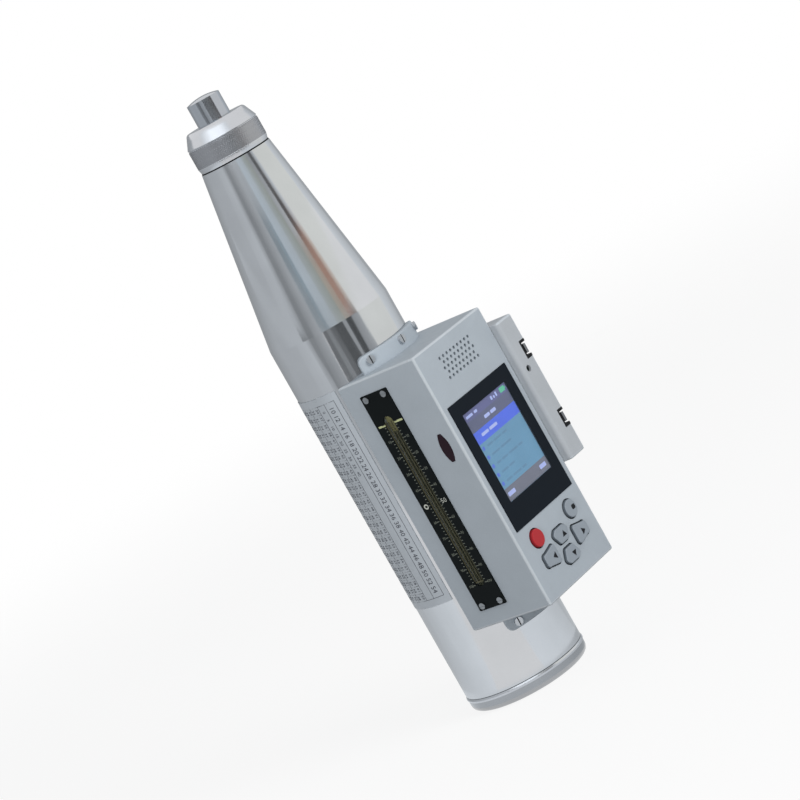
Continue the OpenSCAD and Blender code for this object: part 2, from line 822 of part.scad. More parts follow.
module lug_screws() {
  color("silver")
    for (polar = lug_polars, z = [case_top + lug_screw_off, case_z - lug_screw_off])
      radial(polar, z, lug_r) pan_screw(lug_screw_r, lug_t + tube_wall - 0.5, lug_head_d / 2, 1.2);
}

// Sound holes in five staggered rows
module grille_holes() {
  rows = 5;
  for (row = [0 : rows - 1]) {
    count = 9 - row % 2;
    for (i = [0 : count - 1])
      translate([
        grille_at[0] + (i - (count - 1) / 2) * grille_pitch,
        grille_at[1] + (row - (rows - 1) / 2) * grille_row
      ]) circle(d = grille_hole_d, $fn = 24);
  }
}

module front_panel() {
  color("lightgray") {
    difference() {
      slab_x(panel_x, panel_t) round_rect([-case_y, case_z], [case_w, case_len], panel_round);
      slab_x(bezel_x, bezel_t)
        translate([-bezel_w / 2 - seat, bezel_z - seat])
          square([bezel_w + 2 * seat, bezel_h + 2 * seat]);
      slab_x(panel_x - 1, panel_t + 2)
        translate([-lcd_w / 2 - seat, lcd_z - seat]) square([lcd_w + 2 * seat, lcd_h + 2 * seat]);
      slab_x(panel_x - 1, panel_t + 2) grille_holes();
      slab_x(panel_x - 1, panel_t + 2) key_outlines(key_gap);
    }
    for (y = [-post_y, post_y], z = [post_low, post_high])
      translate([board_x + board_t, y, z]) rotate([0, 90, 0])
        cylinder(r = post_r, h = panel_x - board_x - board_t + 0.01);
  }
}

scale_screw_r = 1;
scale_screw_xs = [plate_x - plate_w / 2 + scale_screw_in, plate_x + plate_w / 2 - scale_screw_in];
scale_screw_zs = [plate_z + scale_screw_end, plate_z + plate_len - scale_screw_end];

module scale_plate() {
  color([0.06, 0.08, 0.09])
    difference() {
      slab_y(-case_y, plate_t)
        round_rect([plate_x - plate_w / 2, plate_z], [plate_w, plate_len], 0.5);
      slab_y(-case_y + 1, plate_t + 2) round_slot(plate_x, slot_z - 1, slot_top, slot_w);
      for (x = scale_screw_xs, z = scale_screw_zs)
        translate([x, -case_y + 1, z]) rotate([90, 0, 0])
          cylinder(r = scale_screw_r + fit, h = plate_t + 2);
    }
}

module scale_window() {
  color([0.8, 0.85, 0.8, 0.4])
    slab_y(-case_y + window_t, window_t)
      translate([plate_x - window_w / 2, window_z]) square([window_w, window_len]);
}

module scale_screws() {
  color("silver")
    for (x = scale_screw_xs, z = scale_screw_zs)
      translate([x, -case_y - plate_t, z]) rotate([90, 0, 0])
        pan_screw(scale_screw_r, plate_t + case_wall - 0.3, scale_head_d / 2, scale_head_h);
}

module rider() {
  tongue_w = wall_slot_w - 4 * free / 2;
  tongue_h = case_wall - window_t - 2 * free;
  color("darkolivegreen")
    difference() {
      union() {
        translate([rod_x - rider_w / 2, rider_y, zero_z - rider_len / 2])
          cube([rider_w, rider_t, rider_len]);
        translate([rod_x - tongue_w / 2, rider_y - tongue_h - free, zero_z - leg_len / 2])
          cube([tongue_w, tongue_h + free + 1, leg_len]);
        rotate([0, 0, rod_polar]) translate([leg_tip_r, -leg_w / 2, zero_z - leg_len / 2])
          cube([leg_root_r - leg_tip_r, leg_w, leg_len]);
      }
      translate([rod_x, rod_y, zero_z - rider_len]) cylinder(r = rod_r + fit, h = 2 * rider_len);
    }
}

module rider_rod() {
  color("lightgray") translate([rod_x, rod_y, rod_low]) cylinder(r = rod_r, h = rod_high - rod_low);
}

module sensor_board() {
  color("darkgreen")
    translate([plate_x + 6.5, -inner_y, slot_z - 8]) cube([1.4, 10, slot_top - slot_z + 16]);
}

// Outline of the infrared window: two arcs that meet in points
module infrared_outline(grow) {
  half = ir_w / 2;
  long = ir_len * ir_point;
  arc_r = (long * long / 4 + half * half) / ir_w;
  intersection() {
    translate([ir_x + arc_r - half, ir_z]) circle(arc_r + grow);
    translate([ir_x - arc_r + half, ir_z]) circle(arc_r + grow);
    translate([ir_x - ir_w, ir_z - ir_len / 2 - grow]) square([2 * ir_w, ir_len + 2 * grow]);
  }
}

module infrared_window() {
  color([0.2, 0.06, 0.1]) slab_y(-inner_y, case_wall + 0.15) infrared_outline(0);
}

module display_bezel() {
  color([0.12, 0.14, 0.17])
    slab_x(bezel_x, bezel_t)
      difference() {
        translate([-bezel_w / 2, bezel_z]) square([bezel_w, bezel_h]);
        translate([-lcd_w / 2, lcd_z]) square([lcd_w, lcd_h]);
      }
}

module display_lens() {
  color([0.6, 0.75, 0.9, 0.5])
    slab_x(bezel_x, bezel_t - 0.2)
      translate([-lcd_w / 2 + seat / 2, lcd_z + seat / 2]) square([lcd_w - seat, lcd_h - seat]);
}

module display_module() {
  color("steelblue") {
    slab_x(panel_x - display_t, display_t)
      translate([-lcd_w / 2 - 2, lcd_z - 3]) square([lcd_w + 4, lcd_h + 6]);
    slab_x(panel_x - 0.5, bezel_x - panel_x + 0.5)
      translate([-lcd_w / 2, lcd_z]) square([lcd_w, lcd_h]);
  }
}

module main_board() {
  color("darkgreen")
    translate([board_x, -inner_y + 1, case_z + 6])
      cube([board_t, 2 * inner_y - 2, post_high + post_r - case_z - 5]);
}

module battery_pack() {
  color("royalblue")
    translate([board_x - battery_t, inner_y - 4 - battery_w, bezel_z + bezel_h - battery_len - 7])
      cube([battery_t, battery_w, battery_len]);
}

module speaker() {
  speaker_r = case_top - end_wall - grille_at[1] - 0.4;
  color("dimgray")
    translate([panel_x - speaker_h, grille_at[0], grille_at[1]]) rotate([0, 90, 0]) {
      cylinder(r = speaker_r, h = speaker_h);
      translate([0, 0, -speaker_h / 2]) cylinder(r = speaker_r * 0.55, h = speaker_h);
    }
}

// Outlines of the keys on the screen face, as [y, z]
module round_key_outline(at, grow) {
  translate(at) circle(key_d / 2 + grow);
}

// Petal of the arrow pad, pointing along +Z before it is turned: near and far half widths
module petal(near, far, near_half, far_half, grow) {
  corner = 1.5;
  offset(r = corner + grow, $fn = 24)
    polygon([
      [-near_half + corner, near + corner], [near_half - corner, near + corner],
      [far_half - corner, far - corner - 0.8], [far_half / 2, far - corner],
      [-far_half / 2, far - corner], [-far_half + corner, far - corner - 0.8]
    ]);
}

module up_outline(grow) {
  translate(pad_at) petal(pad_near, pad_height, 3.6, 5.2, grow);
}

module down_outline(grow) {
  translate(pad_at) rotate(180) petal(pad_near, pad_height, 3.6, 5.2, grow);
}

module left_outline(grow) {
  translate(pad_at) rotate(90) petal(pad_gap, pad_reach, 4.2, 2.9, grow);
}

module right_outline(grow) {
  translate(pad_at) rotate(-90) petal(pad_gap, pad_reach, 4.2, 2.9, grow);
}

module key_outlines(grow) {
  round_key_outline(red_at, grow);
  round_key_outline(round_at, grow);
  up_outline(grow);
  down_outline(grow);
  left_outline(grow);
  right_outline(grow);
}

// A key's stem through the panel; its first child is the stem and its second the flange behind
module key() {
  slab_x(key_back_x, screen_x + key_proud - key_back_x) children(0);
  slab_x(key_back_x, key_flange) children(1);
}

module red_key() {
  color("crimson") key() {
    round_key_outline(red_at, 0);
    round_key_outline(red_at, key_flange);
  }
}

module round_key() {
  color("slategray") key() {
    round_key_outline(round_at, 0);
    round_key_outline(round_at, key_flange);
  }
}

module up_key() {
  color("slategray") key() {
    up_outline(0);
    up_outline(key_flange);
  }
}

module down_key() {
  color("slategray") key() {
    down_outline(0);
    down_outline(key_flange);
  }
}

module left_key() {
  color("slategray") key() {
    left_outline(0);
    left_outline(key_flange);
  }
}

module right_key() {
  color("slategray") key() {
    right_outline(0);
    right_outline(key_flange);
  }
}

module key_mat() {
  color("darkslategray")
    difference() {
      translate([mat_x, -mat_y, mat_low]) cube([panel_x - mat_x, 2 * mat_y, mat_high - mat_low]);
      translate([mat_x + mat_t, -mat_y + mat_rim, mat_low + mat_rim])
        cube([panel_x, 2 * (mat_y - mat_rim), mat_high - mat_low - 2 * mat_rim]);
    }
}

side_screw_xs = [module_x + side_screw_in, screen_x - side_screw_in];
side_screw_zs = [module_z + side_screw_in, module_top - side_screw_in];
cavity_y = module_y - module_wall;

module side_housing() {
  color("lightgray")
    difference() {
      union() {
        difference() {
          translate([module_x, case_y, module_z])
            cube([module_face - module_x, module_w, module_len]);
          translate([module_x + module_wall, case_y - 1, module_z + module_wall])
            cube([
              module_face - module_front_wall - module_x - module_wall,
              module_w - module_wall + 1, module_len - 2 * module_wall
            ]);
        }
        for (x = side_screw_xs, z = side_screw_zs)
          translate([x, case_y, z]) rotate([-90, 0, 0])
            cylinder(r = side_column_r, h = module_w - 0.5);
      }
      for (z = socket_heights)
        translate([module_face - socket_deep, module_y - socket_w, z - socket_len / 2 - seat])
          cube([socket_deep + 1, socket_w + 1, socket_len + 2 * seat]);
      translate([module_face - module_front_wall - 1, lamp_at[0], lamp_at[1]]) rotate([0, 90, 0])
        cylinder(r = lamp_d / 2 + seat / 2, h = module_front_wall + 2);
      for (x = side_screw_xs, z = side_screw_zs)
        translate([x, case_y - 1, z]) rotate([-90, 0, 0]) {
          cylinder(r = side_screw_r + fit, h = module_w + 2);
          translate([0, 0, module_w + 1 - side_head_h]) cylinder(r = side_head_r + seat, h = 3);
        }
    }
}

module side_board() {
  color("darkgreen")
    translate([module_x + 9, cavity_y - board_t, module_z + 10])
      cube([module_deep - 19, board_t, module_len - 20]);
}

module side_screws() {
  color("silver")
    for (x = side_screw_xs, z = side_screw_zs)
      translate([x, module_y - side_head_h, z]) rotate([-90, 0, 0])
        pan_screw(side_screw_r, module_w - side_head_h + case_wall, side_head_r, side_head_h - 0.2);
}

socket_lip = 1.2;

// Socket set into the module's outer front edge, open to the front and to the side
module socket(z) {
  low_x = module_face - socket_deep;
  difference() {
    translate([low_x, module_y - socket_w + seat, z - socket_len / 2])
      cube([socket_deep - 0.2, socket_w - seat - 0.1, socket_len]);
    translate([low_x + 1, module_y - socket_w + seat + socket_lip, z - socket_len / 2 + socket_lip])
      cube([socket_deep, socket_w, socket_len - 2 * socket_lip]);
  }
}

module data_socket() {
  color([0.06, 0.06, 0.07]) socket(socket_heights[1]);
}

module charge_socket() {
  color([0.06, 0.06, 0.07]) socket(socket_heights[0]);
}

// Bright contact tongues in the sockets' recesses
module socket_contacts() {
  tongue_w = 1.4;
  tongue_len = socket_len - 2 * socket_lip - 1.6;
  color("silver")
    for (z = socket_heights)
      translate([module_face - socket_deep + 1, module_y - tongue_w - 0.6, z - tongue_len / 2])
        cube([socket_deep - 1.5, tongue_w, tongue_len]);
}

module status_lamp() {
  wall_back = module_face - module_front_wall;
  color("darkgreen")
    translate([0, lamp_at[0], lamp_at[1]]) rotate([0, 90, 0]) {
      translate([0, 0, wall_back - 1.5]) cylinder(r = lamp_d / 2 + 0.6, h = 1.5);
      translate([0, 0, wall_back - 1]) cylinder(r = lamp_d / 2, h = module_front_wall - 0.2);
    }
}

// Printed table on the tube, beside the scale face
module table_label() {
  label_from = -150;
  label_to = -atan2(case_y, sqrt(max(tube_r * tube_r - case_y * case_y, 1))) - 2.5;
  label_t = 0.15;
  color("whitesmoke")
    rotate([0, 0, label_from])
      rotate_extrude(angle = label_to - label_from)
        translate([tube_r + seat, case_z + 16]) square([label_t, case_len - 16]);
}

housing_tube();
nose_cap();
felt_seal();
split_ring();
guide_sleeve();
impact_spring();
impact_plunger();
buffer_spring();
guide_bar();
bar_nut();
guide_disk();
pawl();
pawl_pin();
pawl_spring();
hammer_mass();
compression_spring();
rear_cap();
trip_screw();
trip_lock_nut();
lock_button();
button_bush();
button_spring();
case_shell();
lug_screws();
front_panel();
scale_plate();
scale_window();
scale_screws();
rider();
rider_rod();
sensor_board();
infrared_window();
display_bezel();
display_lens();
display_module();
main_board();
battery_pack();
speaker();
key_mat();
red_key();
round_key();
up_key();
down_key();
left_key();
right_key();
side_housing();
side_board();
side_screws();
data_socket();
charge_socket();
socket_contacts();
status_lamp();
table_label();
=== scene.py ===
"""Looks of the concrete test hammer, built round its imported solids."""
import math

import bmesh
import bpy
from mathutils import Matrix, Vector


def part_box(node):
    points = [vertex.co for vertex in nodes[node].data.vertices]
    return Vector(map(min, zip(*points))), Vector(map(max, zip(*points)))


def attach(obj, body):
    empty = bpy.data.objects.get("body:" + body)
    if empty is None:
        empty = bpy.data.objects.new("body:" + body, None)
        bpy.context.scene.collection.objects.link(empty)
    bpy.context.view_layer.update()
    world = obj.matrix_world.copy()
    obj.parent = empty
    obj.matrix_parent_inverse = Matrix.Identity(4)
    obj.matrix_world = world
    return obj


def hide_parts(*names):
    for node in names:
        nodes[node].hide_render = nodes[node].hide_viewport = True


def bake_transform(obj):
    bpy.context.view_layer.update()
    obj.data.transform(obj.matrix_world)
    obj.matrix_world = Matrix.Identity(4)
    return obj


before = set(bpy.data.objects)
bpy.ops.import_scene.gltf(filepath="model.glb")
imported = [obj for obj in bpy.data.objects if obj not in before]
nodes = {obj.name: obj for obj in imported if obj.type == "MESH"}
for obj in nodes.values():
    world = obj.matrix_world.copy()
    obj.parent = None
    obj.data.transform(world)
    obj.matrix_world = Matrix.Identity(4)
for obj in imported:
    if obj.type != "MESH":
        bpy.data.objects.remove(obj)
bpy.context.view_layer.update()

MM = 0.001
TAU = 2 * math.pi


def placed(name, data):
    """A new object of a mesh, curve, lamp or camera, linked to the scene."""
    obj = bpy.data.objects.new(name, data)
    bpy.context.collection.objects.link(obj)
    return obj


# Camera

# Fitted view: angles in degrees, place in metres, lens in pixels of the 800-pixel picture
AZIMUTH, ELEVATION, ROLL = 42.10, 7.75, 29.52
EYE = Vector((0.9275, -1.0264, 0.3283))
FOCAL_PX, PICTURE_PX = 3415.0, 800.0
AXIS_PX = (366.0, 387.2)


def make_camera():
    azimuth, elevation, roll = (math.radians(a) for a in (AZIMUTH, ELEVATION, ROLL))
    right = Vector((math.cos(azimuth), math.sin(azimuth), 0))
    back = Vector((math.sin(azimuth) * math.cos(elevation),
                   -math.cos(azimuth) * math.cos(elevation), math.sin(elevation)))
    down = (-back).cross(right)
    across = math.cos(roll) * right + math.sin(roll) * down
    below = -math.sin(roll) * right + math.cos(roll) * down
    half = PICTURE_PX / 2
    forward = (across * (half - AXIS_PX[0]) + below * (half - AXIS_PX[1])
               - back * FOCAL_PX).normalized()
    across = (across - forward * across.dot(forward)).normalized()
    up = across.cross(forward)
    data = bpy.data.cameras.new("camera")
    data.lens = FOCAL_PX / PICTURE_PX * data.sensor_width
    camera = placed("camera", data)
    place = Matrix((across, up, -forward)).transposed().to_4x4()
    place.translation = EYE
    camera.matrix_world = place
    bpy.context.scene.camera = camera


make_camera()


# Materials

def linear(red, green, blue):
    """Linear colour from 8-bit sRGB values."""
    return tuple(
        v / 255 / 12.92 if v <= 10 else ((v / 255 + 0.055) / 1.055) ** 2.4
        for v in (red, green, blue))


def shade(colour, factor):
    return tuple(min(1.0, v * factor) for v in colour[:3]) + (1.0,)


def fill(node, values):
    for name, value in values.items():
        node.inputs[name.replace("_", " ")].default_value = value


def add(tree, kind, *links, **values):
    """A new shader node with values at its inputs, and links to its first ones."""
    node = tree.nodes.new("ShaderNode" + kind)
    fill(node, values)
    for socket, source in zip(node.inputs, links):
        if source:
            tree.links.new(source, socket)
    return node


def bare_material(name, mesh):
    """Node tree of a mesh's new material, without the usual shader, and the tree's end."""
    material = bpy.data.materials.new(name)
    material.use_nodes = True
    mesh.materials.append(material)
    tree = material.node_tree
    tree.nodes.remove(tree.nodes["Principled BSDF"])
    return tree, tree.nodes["Material Output"].inputs["Surface"]


EVEN = (1, 1, 1)  # noise with no direction
ROUND_LINES = (0.02, 0.02, 1.0)  # turning lines round the Z axis
LONG_LINES = (1.0, 1.0, 0.03)  # grinding lines along the Z axis
NOISE_SPAN, FLECK_SPAN, SCUFF_SPAN = (0.3, 0.7), (0.58, 0.7), (0.52, 0.68)
SCUFF_SCALE, SCUFF_SHARE = 38, 0.3


class Surface:
    """One node material: mottled colour, rubbed patches, uneven gloss, grain as bump."""

    def __init__(self, name, srgb, rough, **values):
        self.colour = linear(*srgb)
        self.material = bpy.data.materials.new(name)
        self.material.use_nodes = True
        self.tree = self.material.node_tree
        self.shader = self.tree.nodes["Principled BSDF"]
        fill(self.shader, values)
        self.rough = rough
        self.base = None
        self.height = None
        self.place = add(self.tree, "TexCoord").outputs["Object"]

    def link(self, source, target):
        self.tree.links.new(source, target)

    def noise(self, scale, stretch=EVEN, detail=3.0):
        mapping = add(self.tree, "Mapping", self.place, Scale=stretch)
        noise = add(self.tree, "TexNoise", mapping.outputs["Vector"], Scale=scale, Detail=detail)
        return noise.outputs["Fac"]

    def ramp(self, source, low, high, first, second):
        ramp = add(self.tree, "ValToRGB", source)
        ends = ramp.color_ramp.elements
        ends[0].position, ends[1].position = low, high
        ends[0].color, ends[1].color = first, second
        return ramp.outputs["Color"]

    def mottle(self, scale, amount):
        self.base = self.ramp(self.noise(scale), *NOISE_SPAN,
                              shade(self.colour, 1 - amount), shade(self.colour, 1 + amount))
        return self

    def lighten(self, noise, span, strength, factor):
        """Lay a lighter tone over the base where the noise is high."""
        grey = (strength, strength, strength, 1)
        spots = self.ramp(noise, *span, (0, 0, 0, 1), grey)
        mix = add(self.tree, "Mix")
        mix.data_type = "RGBA"
        self.link(spots, mix.inputs[0])
        self.link(self.base, mix.inputs[6])
        mix.inputs[7].default_value = shade(self.colour, factor)
        self.base = mix.outputs[2]
        return self

    def flecks(self, scale, strength, factor=1.6):
        """Fine bright flecks in a paint or moulding."""
        return self.lighten(self.noise(scale, detail=1.0), FLECK_SPAN, strength, factor)

    def scuffs(self, factor=1.12):
        """Broad rubbed patches, a little lighter than the rest."""
        return self.lighten(self.noise(SCUFF_SCALE, detail=8.0), SCUFF_SPAN, SCUFF_SHARE, factor)

    def gloss(self, scale, spread, stretch=EVEN):
        low, high = NOISE_SPAN
        span = add(self.tree, "MapRange", self.noise(scale, stretch), From_Min=low, From_Max=high,
                   To_Min=max(0.0, self.rough - spread), To_Max=self.rough + spread)
        self.link(span.outputs["Result"], self.shader.inputs["Roughness"])
        return self

    def grain(self, scale, strength, depth, stretch=EVEN):
        """Relief as bump; a second grain lies over the first."""
        bump = add(self.tree, "Bump", Strength=strength, Distance=depth * MM)
        self.link(self.noise(scale, stretch), bump.inputs["Height"])
        if self.height is not None:
            self.link(self.height, bump.inputs["Normal"])
        self.height = bump.outputs["Normal"]
        return self

    def done(self):
        self.link(self.base, self.shader.inputs["Base Color"])
        if self.height is not None:
            self.link(self.height, self.shader.inputs["Normal"])
        return self.material

    def lit(self, strength):
        """Backlit colour of a screen or lamp."""
        self.link(self.base, self.shader.inputs["Emission Color"])
        fill(self.shader, {"Emission Strength": strength})
        return self


SCREEN_GLOW = 0.2


def metal(name, srgb, rough, lines=ROUND_LINES, line_scale=9000, line_strength=0.12):
    surface = Surface(name, srgb, rough, Metallic=1.0)
    surface.mottle(60, 0.03).scuffs(1.05)
    surface.gloss(130, rough * 0.3, (1, 1, 0.2))
    return surface.grain(line_scale, line_strength, 0.01, lines).done()


def moulding(name, srgb, rough=0.45, fleck=0.25, grain=0.12, level=0.3):
    surface = Surface(name, srgb, rough, Specular_IOR_Level=level)
    surface.mottle(90, 0.025).flecks(5200, fleck).scuffs()
    surface.gloss(240, rough * 0.14)
    return surface.grain(2600, grain, 0.02).grain(420, grain * 0.5, 0.03).done()


def screen_colour(name, srgb):
    surface = Surface(name, srgb, 0.35, Specular_IOR_Level=0.2)
    surface.mottle(45, 0.08).flecks(2600, 0.12, 1.2).gloss(300, 0.05)
    return surface.lit(SCREEN_GLOW).done()


def clear_sheet(name, srgb, alpha, rough, level):
    surface = Surface(name, srgb, rough, Alpha=alpha, Specular_IOR_Level=level)
    return surface.mottle(70, 0.04).gloss(160, rough * 0.3).done()


# Name, sRGB colour, roughness, direction, scale and strength of the fine lines
METALS = [
    ("tube_metal", (203, 205, 208), 0.11, ROUND_LINES, 9000, 0.05),
    ("rear_metal", (166, 168, 171), 0.2),
    ("cap_metal", (200, 202, 206), 0.2),
    ("knurl_metal", (160, 161, 165), 0.3),
    ("joint_dark", (92, 95, 98), 0.4),
    ("steel", (188, 190, 194), 0.2),
    ("screw_steel", (140, 143, 146), 0.34, EVEN, 5000, 0.15),
    ("satin_steel", (206, 209, 213), 0.62, EVEN, 5000, 0.15),
    ("dark_steel", (52, 53, 52), 0.5, EVEN, 5000, 0.15),
    ("contact_steel", (120, 122, 126), 0.45, EVEN, 5000, 0.2),
    ("ground_steel", (176, 180, 186), 0.13, LONG_LINES, 5000, 0.1),
    ("spring_wire", (118, 122, 127), 0.3, EVEN, 4000, 0.15),
    ("brass", (205, 168, 92), 0.28, LONG_LINES),
]
# Name, sRGB colour, roughness, flecks, grain, specular level
MOULDINGS = [
    ("silver_paint", (175, 184, 192)),
    # silver_edge is a lighter copy of silver_paint for rounded edges: rubbed wear and a painted
    # highlight
    ("silver_edge", (196, 203, 209), 0.42, 0.2, 0.1, 0.35),
    ("module_paint", (181, 186, 191)),
    ("black_paint", (12, 17, 18), 0.5, 0.05, 0.1, 0.08),
    ("rail_olive", (88, 86, 68), 0.6, 0.1, 0.1, 0.1),
    ("board_dark", (16, 22, 20), 0.6, 0.05, 0.1, 0.08),
    ("bezel_black", (19, 26, 34), 0.35, 0.05, 0.03, 0.06),
    ("rider_olive", (138, 134, 88), 0.5),
    ("infrared_red", (36, 14, 26), 0.2, 0.02, 0.02, 0.15),
    ("key_grey", (150, 159, 168), 0.42, 0.15, 0.1, 0.3),
    # key_edge and red_edge are darker copies of the key colours for the key rims: painted shade
    ("key_edge", (98, 106, 114), 0.45, 0.1, 0.1, 0.25),
    ("red_edge", (150, 32, 40), 0.4, 0.1, 0.08, 0.25),
    ("key_red", (182, 41, 48), 0.36, 0.1, 0.08, 0.25),
    ("key_ink", (20, 22, 26), 0.5, 0.05, 0.05, 0.15),
    ("socket_black", (15, 16, 19), 0.5, 0.05, 0.1, 0.15),
    ("mat_rubber", (34, 37, 41), 0.7, 0.05, 0.3, 0.2),
    ("board_green", (26, 92, 56), 0.3, 0.1, 0.1, 0.5),
    ("battery_blue", (50, 82, 148), 0.3, 0.1, 0.1, 0.5),
    ("speaker_black", (36, 36, 39), 0.6, 0.05, 0.3, 0.3),
    ("lamp_dark", (26, 32, 31), 0.5, 0.02, 0.02, 0.08),
    ("label_film", (190, 197, 204), 0.3, 0.04, 0.04, 0.35),
    ("label_ink", (84, 87, 95), 0.55, 0.05, 0.05, 0.2),
    ("scale_ink", (122, 127, 117), 0.6, 0.05, 0.05, 0.15),
    ("scale_light", (206, 209, 200), 0.6, 0.05, 0.05, 0.15),
    ("index_ink", (200, 206, 158), 0.6, 0.05, 0.05, 0.15),
    ("felt_grey", (78, 77, 74), 0.95, 0.5, 1.0, 0.1),
]
# Name, sRGB colour, opacity, roughness, specular level
SHEETS = [
    ("window_clear", (150, 156, 132), 0.08, 0.2, 0.12),
    ("lens_clear", (190, 205, 220), 0.05, 0.06, 0.4),
]
SCREENS = [
    ("screen_body", (99, 146, 177)),
    ("screen_top", (92, 94, 138)),
    ("screen_title", (88, 92, 120)),
    ("screen_pick", (76, 104, 222)),
    ("screen_foot", (108, 110, 124)),
    ("screen_pale", (170, 182, 232)),
    ("screen_dash", (94, 134, 164)),
    ("screen_dot", (84, 112, 206)),
    ("screen_green", (92, 186, 150)),
]
look = {}
for make, table in ((metal, METALS), (moulding, MOULDINGS), (clear_sheet, SHEETS),
                    (screen_colour, SCREENS)):
    for name, *values in table:
        look[name] = make(name, *values)

DRESS = {
    "tube_metal": "housing_tube",
    "rear_metal": "rear_cap",
    "cap_metal": "nose_cap button_bush",
    "steel": "split_ring guide_sleeve bar_nut trip_screw trip_lock_nut",
    "dark_steel": "rider_rod",
    "screw_steel": "scale_screws side_screws",
    "satin_steel": "lug_screws",
    "contact_steel": "socket_contacts",
    "ground_steel": "impact_plunger guide_bar guide_disk pawl pawl_pin hammer_mass",
    "spring_wire": "impact_spring buffer_spring compression_spring button_spring",
    "brass": "pawl_spring",
    "silver_paint": "case_shell front_panel",
    "module_paint": "side_housing",
    "black_paint": "scale_plate",
    "window_clear": "scale_window",
    "rider_olive": "rider",
    "board_green": "main_board side_board",
    "board_dark": "sensor_board",
    "infrared_red": "infrared_window",
    "bezel_black": "display_bezel",
    "lens_clear": "display_lens",
    "screen_body": "display_module",
    "battery_blue": "battery_pack",
    "speaker_black": "speaker",
    "mat_rubber": "key_mat",
    "key_red": "red_key lock_button",
    "key_grey": "round_key up_key down_key left_key right_key",
    "socket_black": "data_socket charge_socket",
    "lamp_dark": "status_lamp",
    "label_film": "table_label",
    "felt_grey": "felt_seal",
}
material_of = {node: material for material, names in DRESS.items() for node in names.split()}
for node, obj in nodes.items():
    obj.data.materials.clear()
    obj.data.materials.append(look[material_of[node]])


# Mesh helpers. Numbers are in millimetres, Blender's meshes in metres

SMOOTH_ANGLE = math.radians(32)
WELD, NEAR = 0.002, 0.01  # distances that count as none
SCREEN_X = 51.55
SCALE_Y = -26.15
LABEL_R, LABEL_POLAR, LABEL_TOP = 27.25, -150.0, 148.4


def piece(name, points, faces, material, slot, body="housing"):
    """A mesh that rides on a body, in the given material. Its slot is not used."""
    mesh = bpy.data.meshes.new(name)
    mesh.from_pydata([tuple(c * MM for c in p) for p in points], [], faces)
    bm = bmesh.new()
    bm.from_mesh(mesh)
    bmesh.ops.recalc_face_normals(bm, faces=bm.faces)
    bm.to_mesh(mesh)
    bm.free()
    return wear(name, mesh, material, body)


def wear(name, mesh, material, body, weighted=True, angle=SMOOTH_ANGLE):
    """Object of a finished mesh, smooth up to an angle. A piece without a body is left unattached.
    """
    mesh.materials.clear()
    mesh.materials.append(look[material])
    mesh.shade_smooth()
    mesh.set_sharp_from_angle(angle=angle)
    obj = placed(name, mesh)
    if weighted:
        normals = obj.modifiers.new("normals", "WEIGHTED_NORMAL")
        normals.weight = 100
        normals.keep_sharp = True
    if body:
        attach(obj, body)
    return obj


def lathe(profile, steps, bend=None):
    """Points and faces of a closed profile (r, z) turned round the Z axis."""
    points, faces = [], []
    for i in range(steps):
        angle = TAU * i / steps
        for k, (r, z) in enumerate(profile):
            if bend:
                r, z = bend(k, r, z, i)
            points.append((r * math.cos(angle), r * math.sin(angle), z))
    count = len(profile)
    for i in range(steps):
        j = (i + 1) % steps
        for k in range(count):
            n = (k + 1) % count
            faces.append((i * count + k, j * count + k, j * count + n, i * count + n))
    return points, faces


def prisms(outlines, low, high, place):
    """Points and faces of closed outlines (u, v) raised from height low to high."""
    points, faces = [], []
    for outline in outlines:
        first, count = len(points), len(outline)
        points += [place(u, v, low) for u, v in outline]
        points += [place(u, v, high) for u, v in outline]
        faces.append(tuple(range(first, first + count)))
        faces.append(tuple(range(first + 2 * count - 1, first + count - 1, -1)))
        for k in range(count):
            n = (k + 1) % count
            faces.append((first + k, first + n, first + count + n, first + count + k))
    return points, faces


def joined(*parts):
    points, faces = [], []
    for some_points, some_faces in parts:
        first = len(points)
        points += some_points
        faces += [tuple(i + first for i in face) for face in some_faces]
    return points, faces


def bar(u0, v0, u1, v1, steps=1):
    """Outline of a bar, with extra points along V so that it can be wrapped."""
    rise = [v0 + (v1 - v0) * k / steps for k in range(steps + 1)]
    return [(u0, v) for v in rise] + [(u1, v) for v in reversed(rise)]


def round_bar(u0, v0, u1, v1, radius, steps=5):
    """Outline of a bar with round corners."""
    outline = []
    for cu, cv, start in ((u1 - radius, v1 - radius, 0), (u0 + radius, v1 - radius, 90),
                          (u0 + radius, v0 + radius, 180), (u1 - radius, v0 + radius, 270)):
        for k in range(steps + 1):
            angle = math.radians(start + 90 * k / steps)
            outline.append((cu + radius * math.cos(angle), cv + radius * math.sin(angle)))
    return outline


def evaluated(obj):
    """Mesh of an object with its modifiers applied."""
    return bpy.data.meshes.new_from_object(obj.evaluated_get(
        bpy.context.evaluated_depsgraph_get()))


def numeral(number, u, v, place, size, height):
    """Points and faces of a plain number, raised to a height and centred on (u, v)."""
    curve = bpy.data.curves.new("numeral", "FONT")
    curve.body = str(number)
    curve.size = size
    curve.align_x = curve.align_y = "CENTER"
    curve.resolution_u = 2
    curve.extrude = 0.5  # to each side, so one unit thick
    holder = placed("numeral", curve)
    mesh = evaluated(holder)
    points = [place(u + p.co.x, v + p.co.y, height * (p.co.z + 0.5)) for p in mesh.vertices]
    faces = [tuple(f.vertices) for f in mesh.polygons]
    bpy.data.objects.remove(holder)
    bpy.data.curves.remove(curve)
    bpy.data.meshes.remove(mesh)
    return points, faces


def welded(node):
    """Welded copy of a node's mesh, without its stored normals."""
    bm = bmesh.new()
    bm.from_mesh(nodes[node].data)
    bmesh.ops.remove_doubles(bm, verts=bm.verts, dist=WELD * MM)
    mesh = bpy.data.meshes.new(node + "_copy")
    bm.to_mesh(mesh)
    bm.free()
    for name in ("custom_normal", "sharp_edge", "sharp_face"):
        if name in mesh.attributes:
            mesh.attributes.remove(mesh.attributes[name])
    return mesh


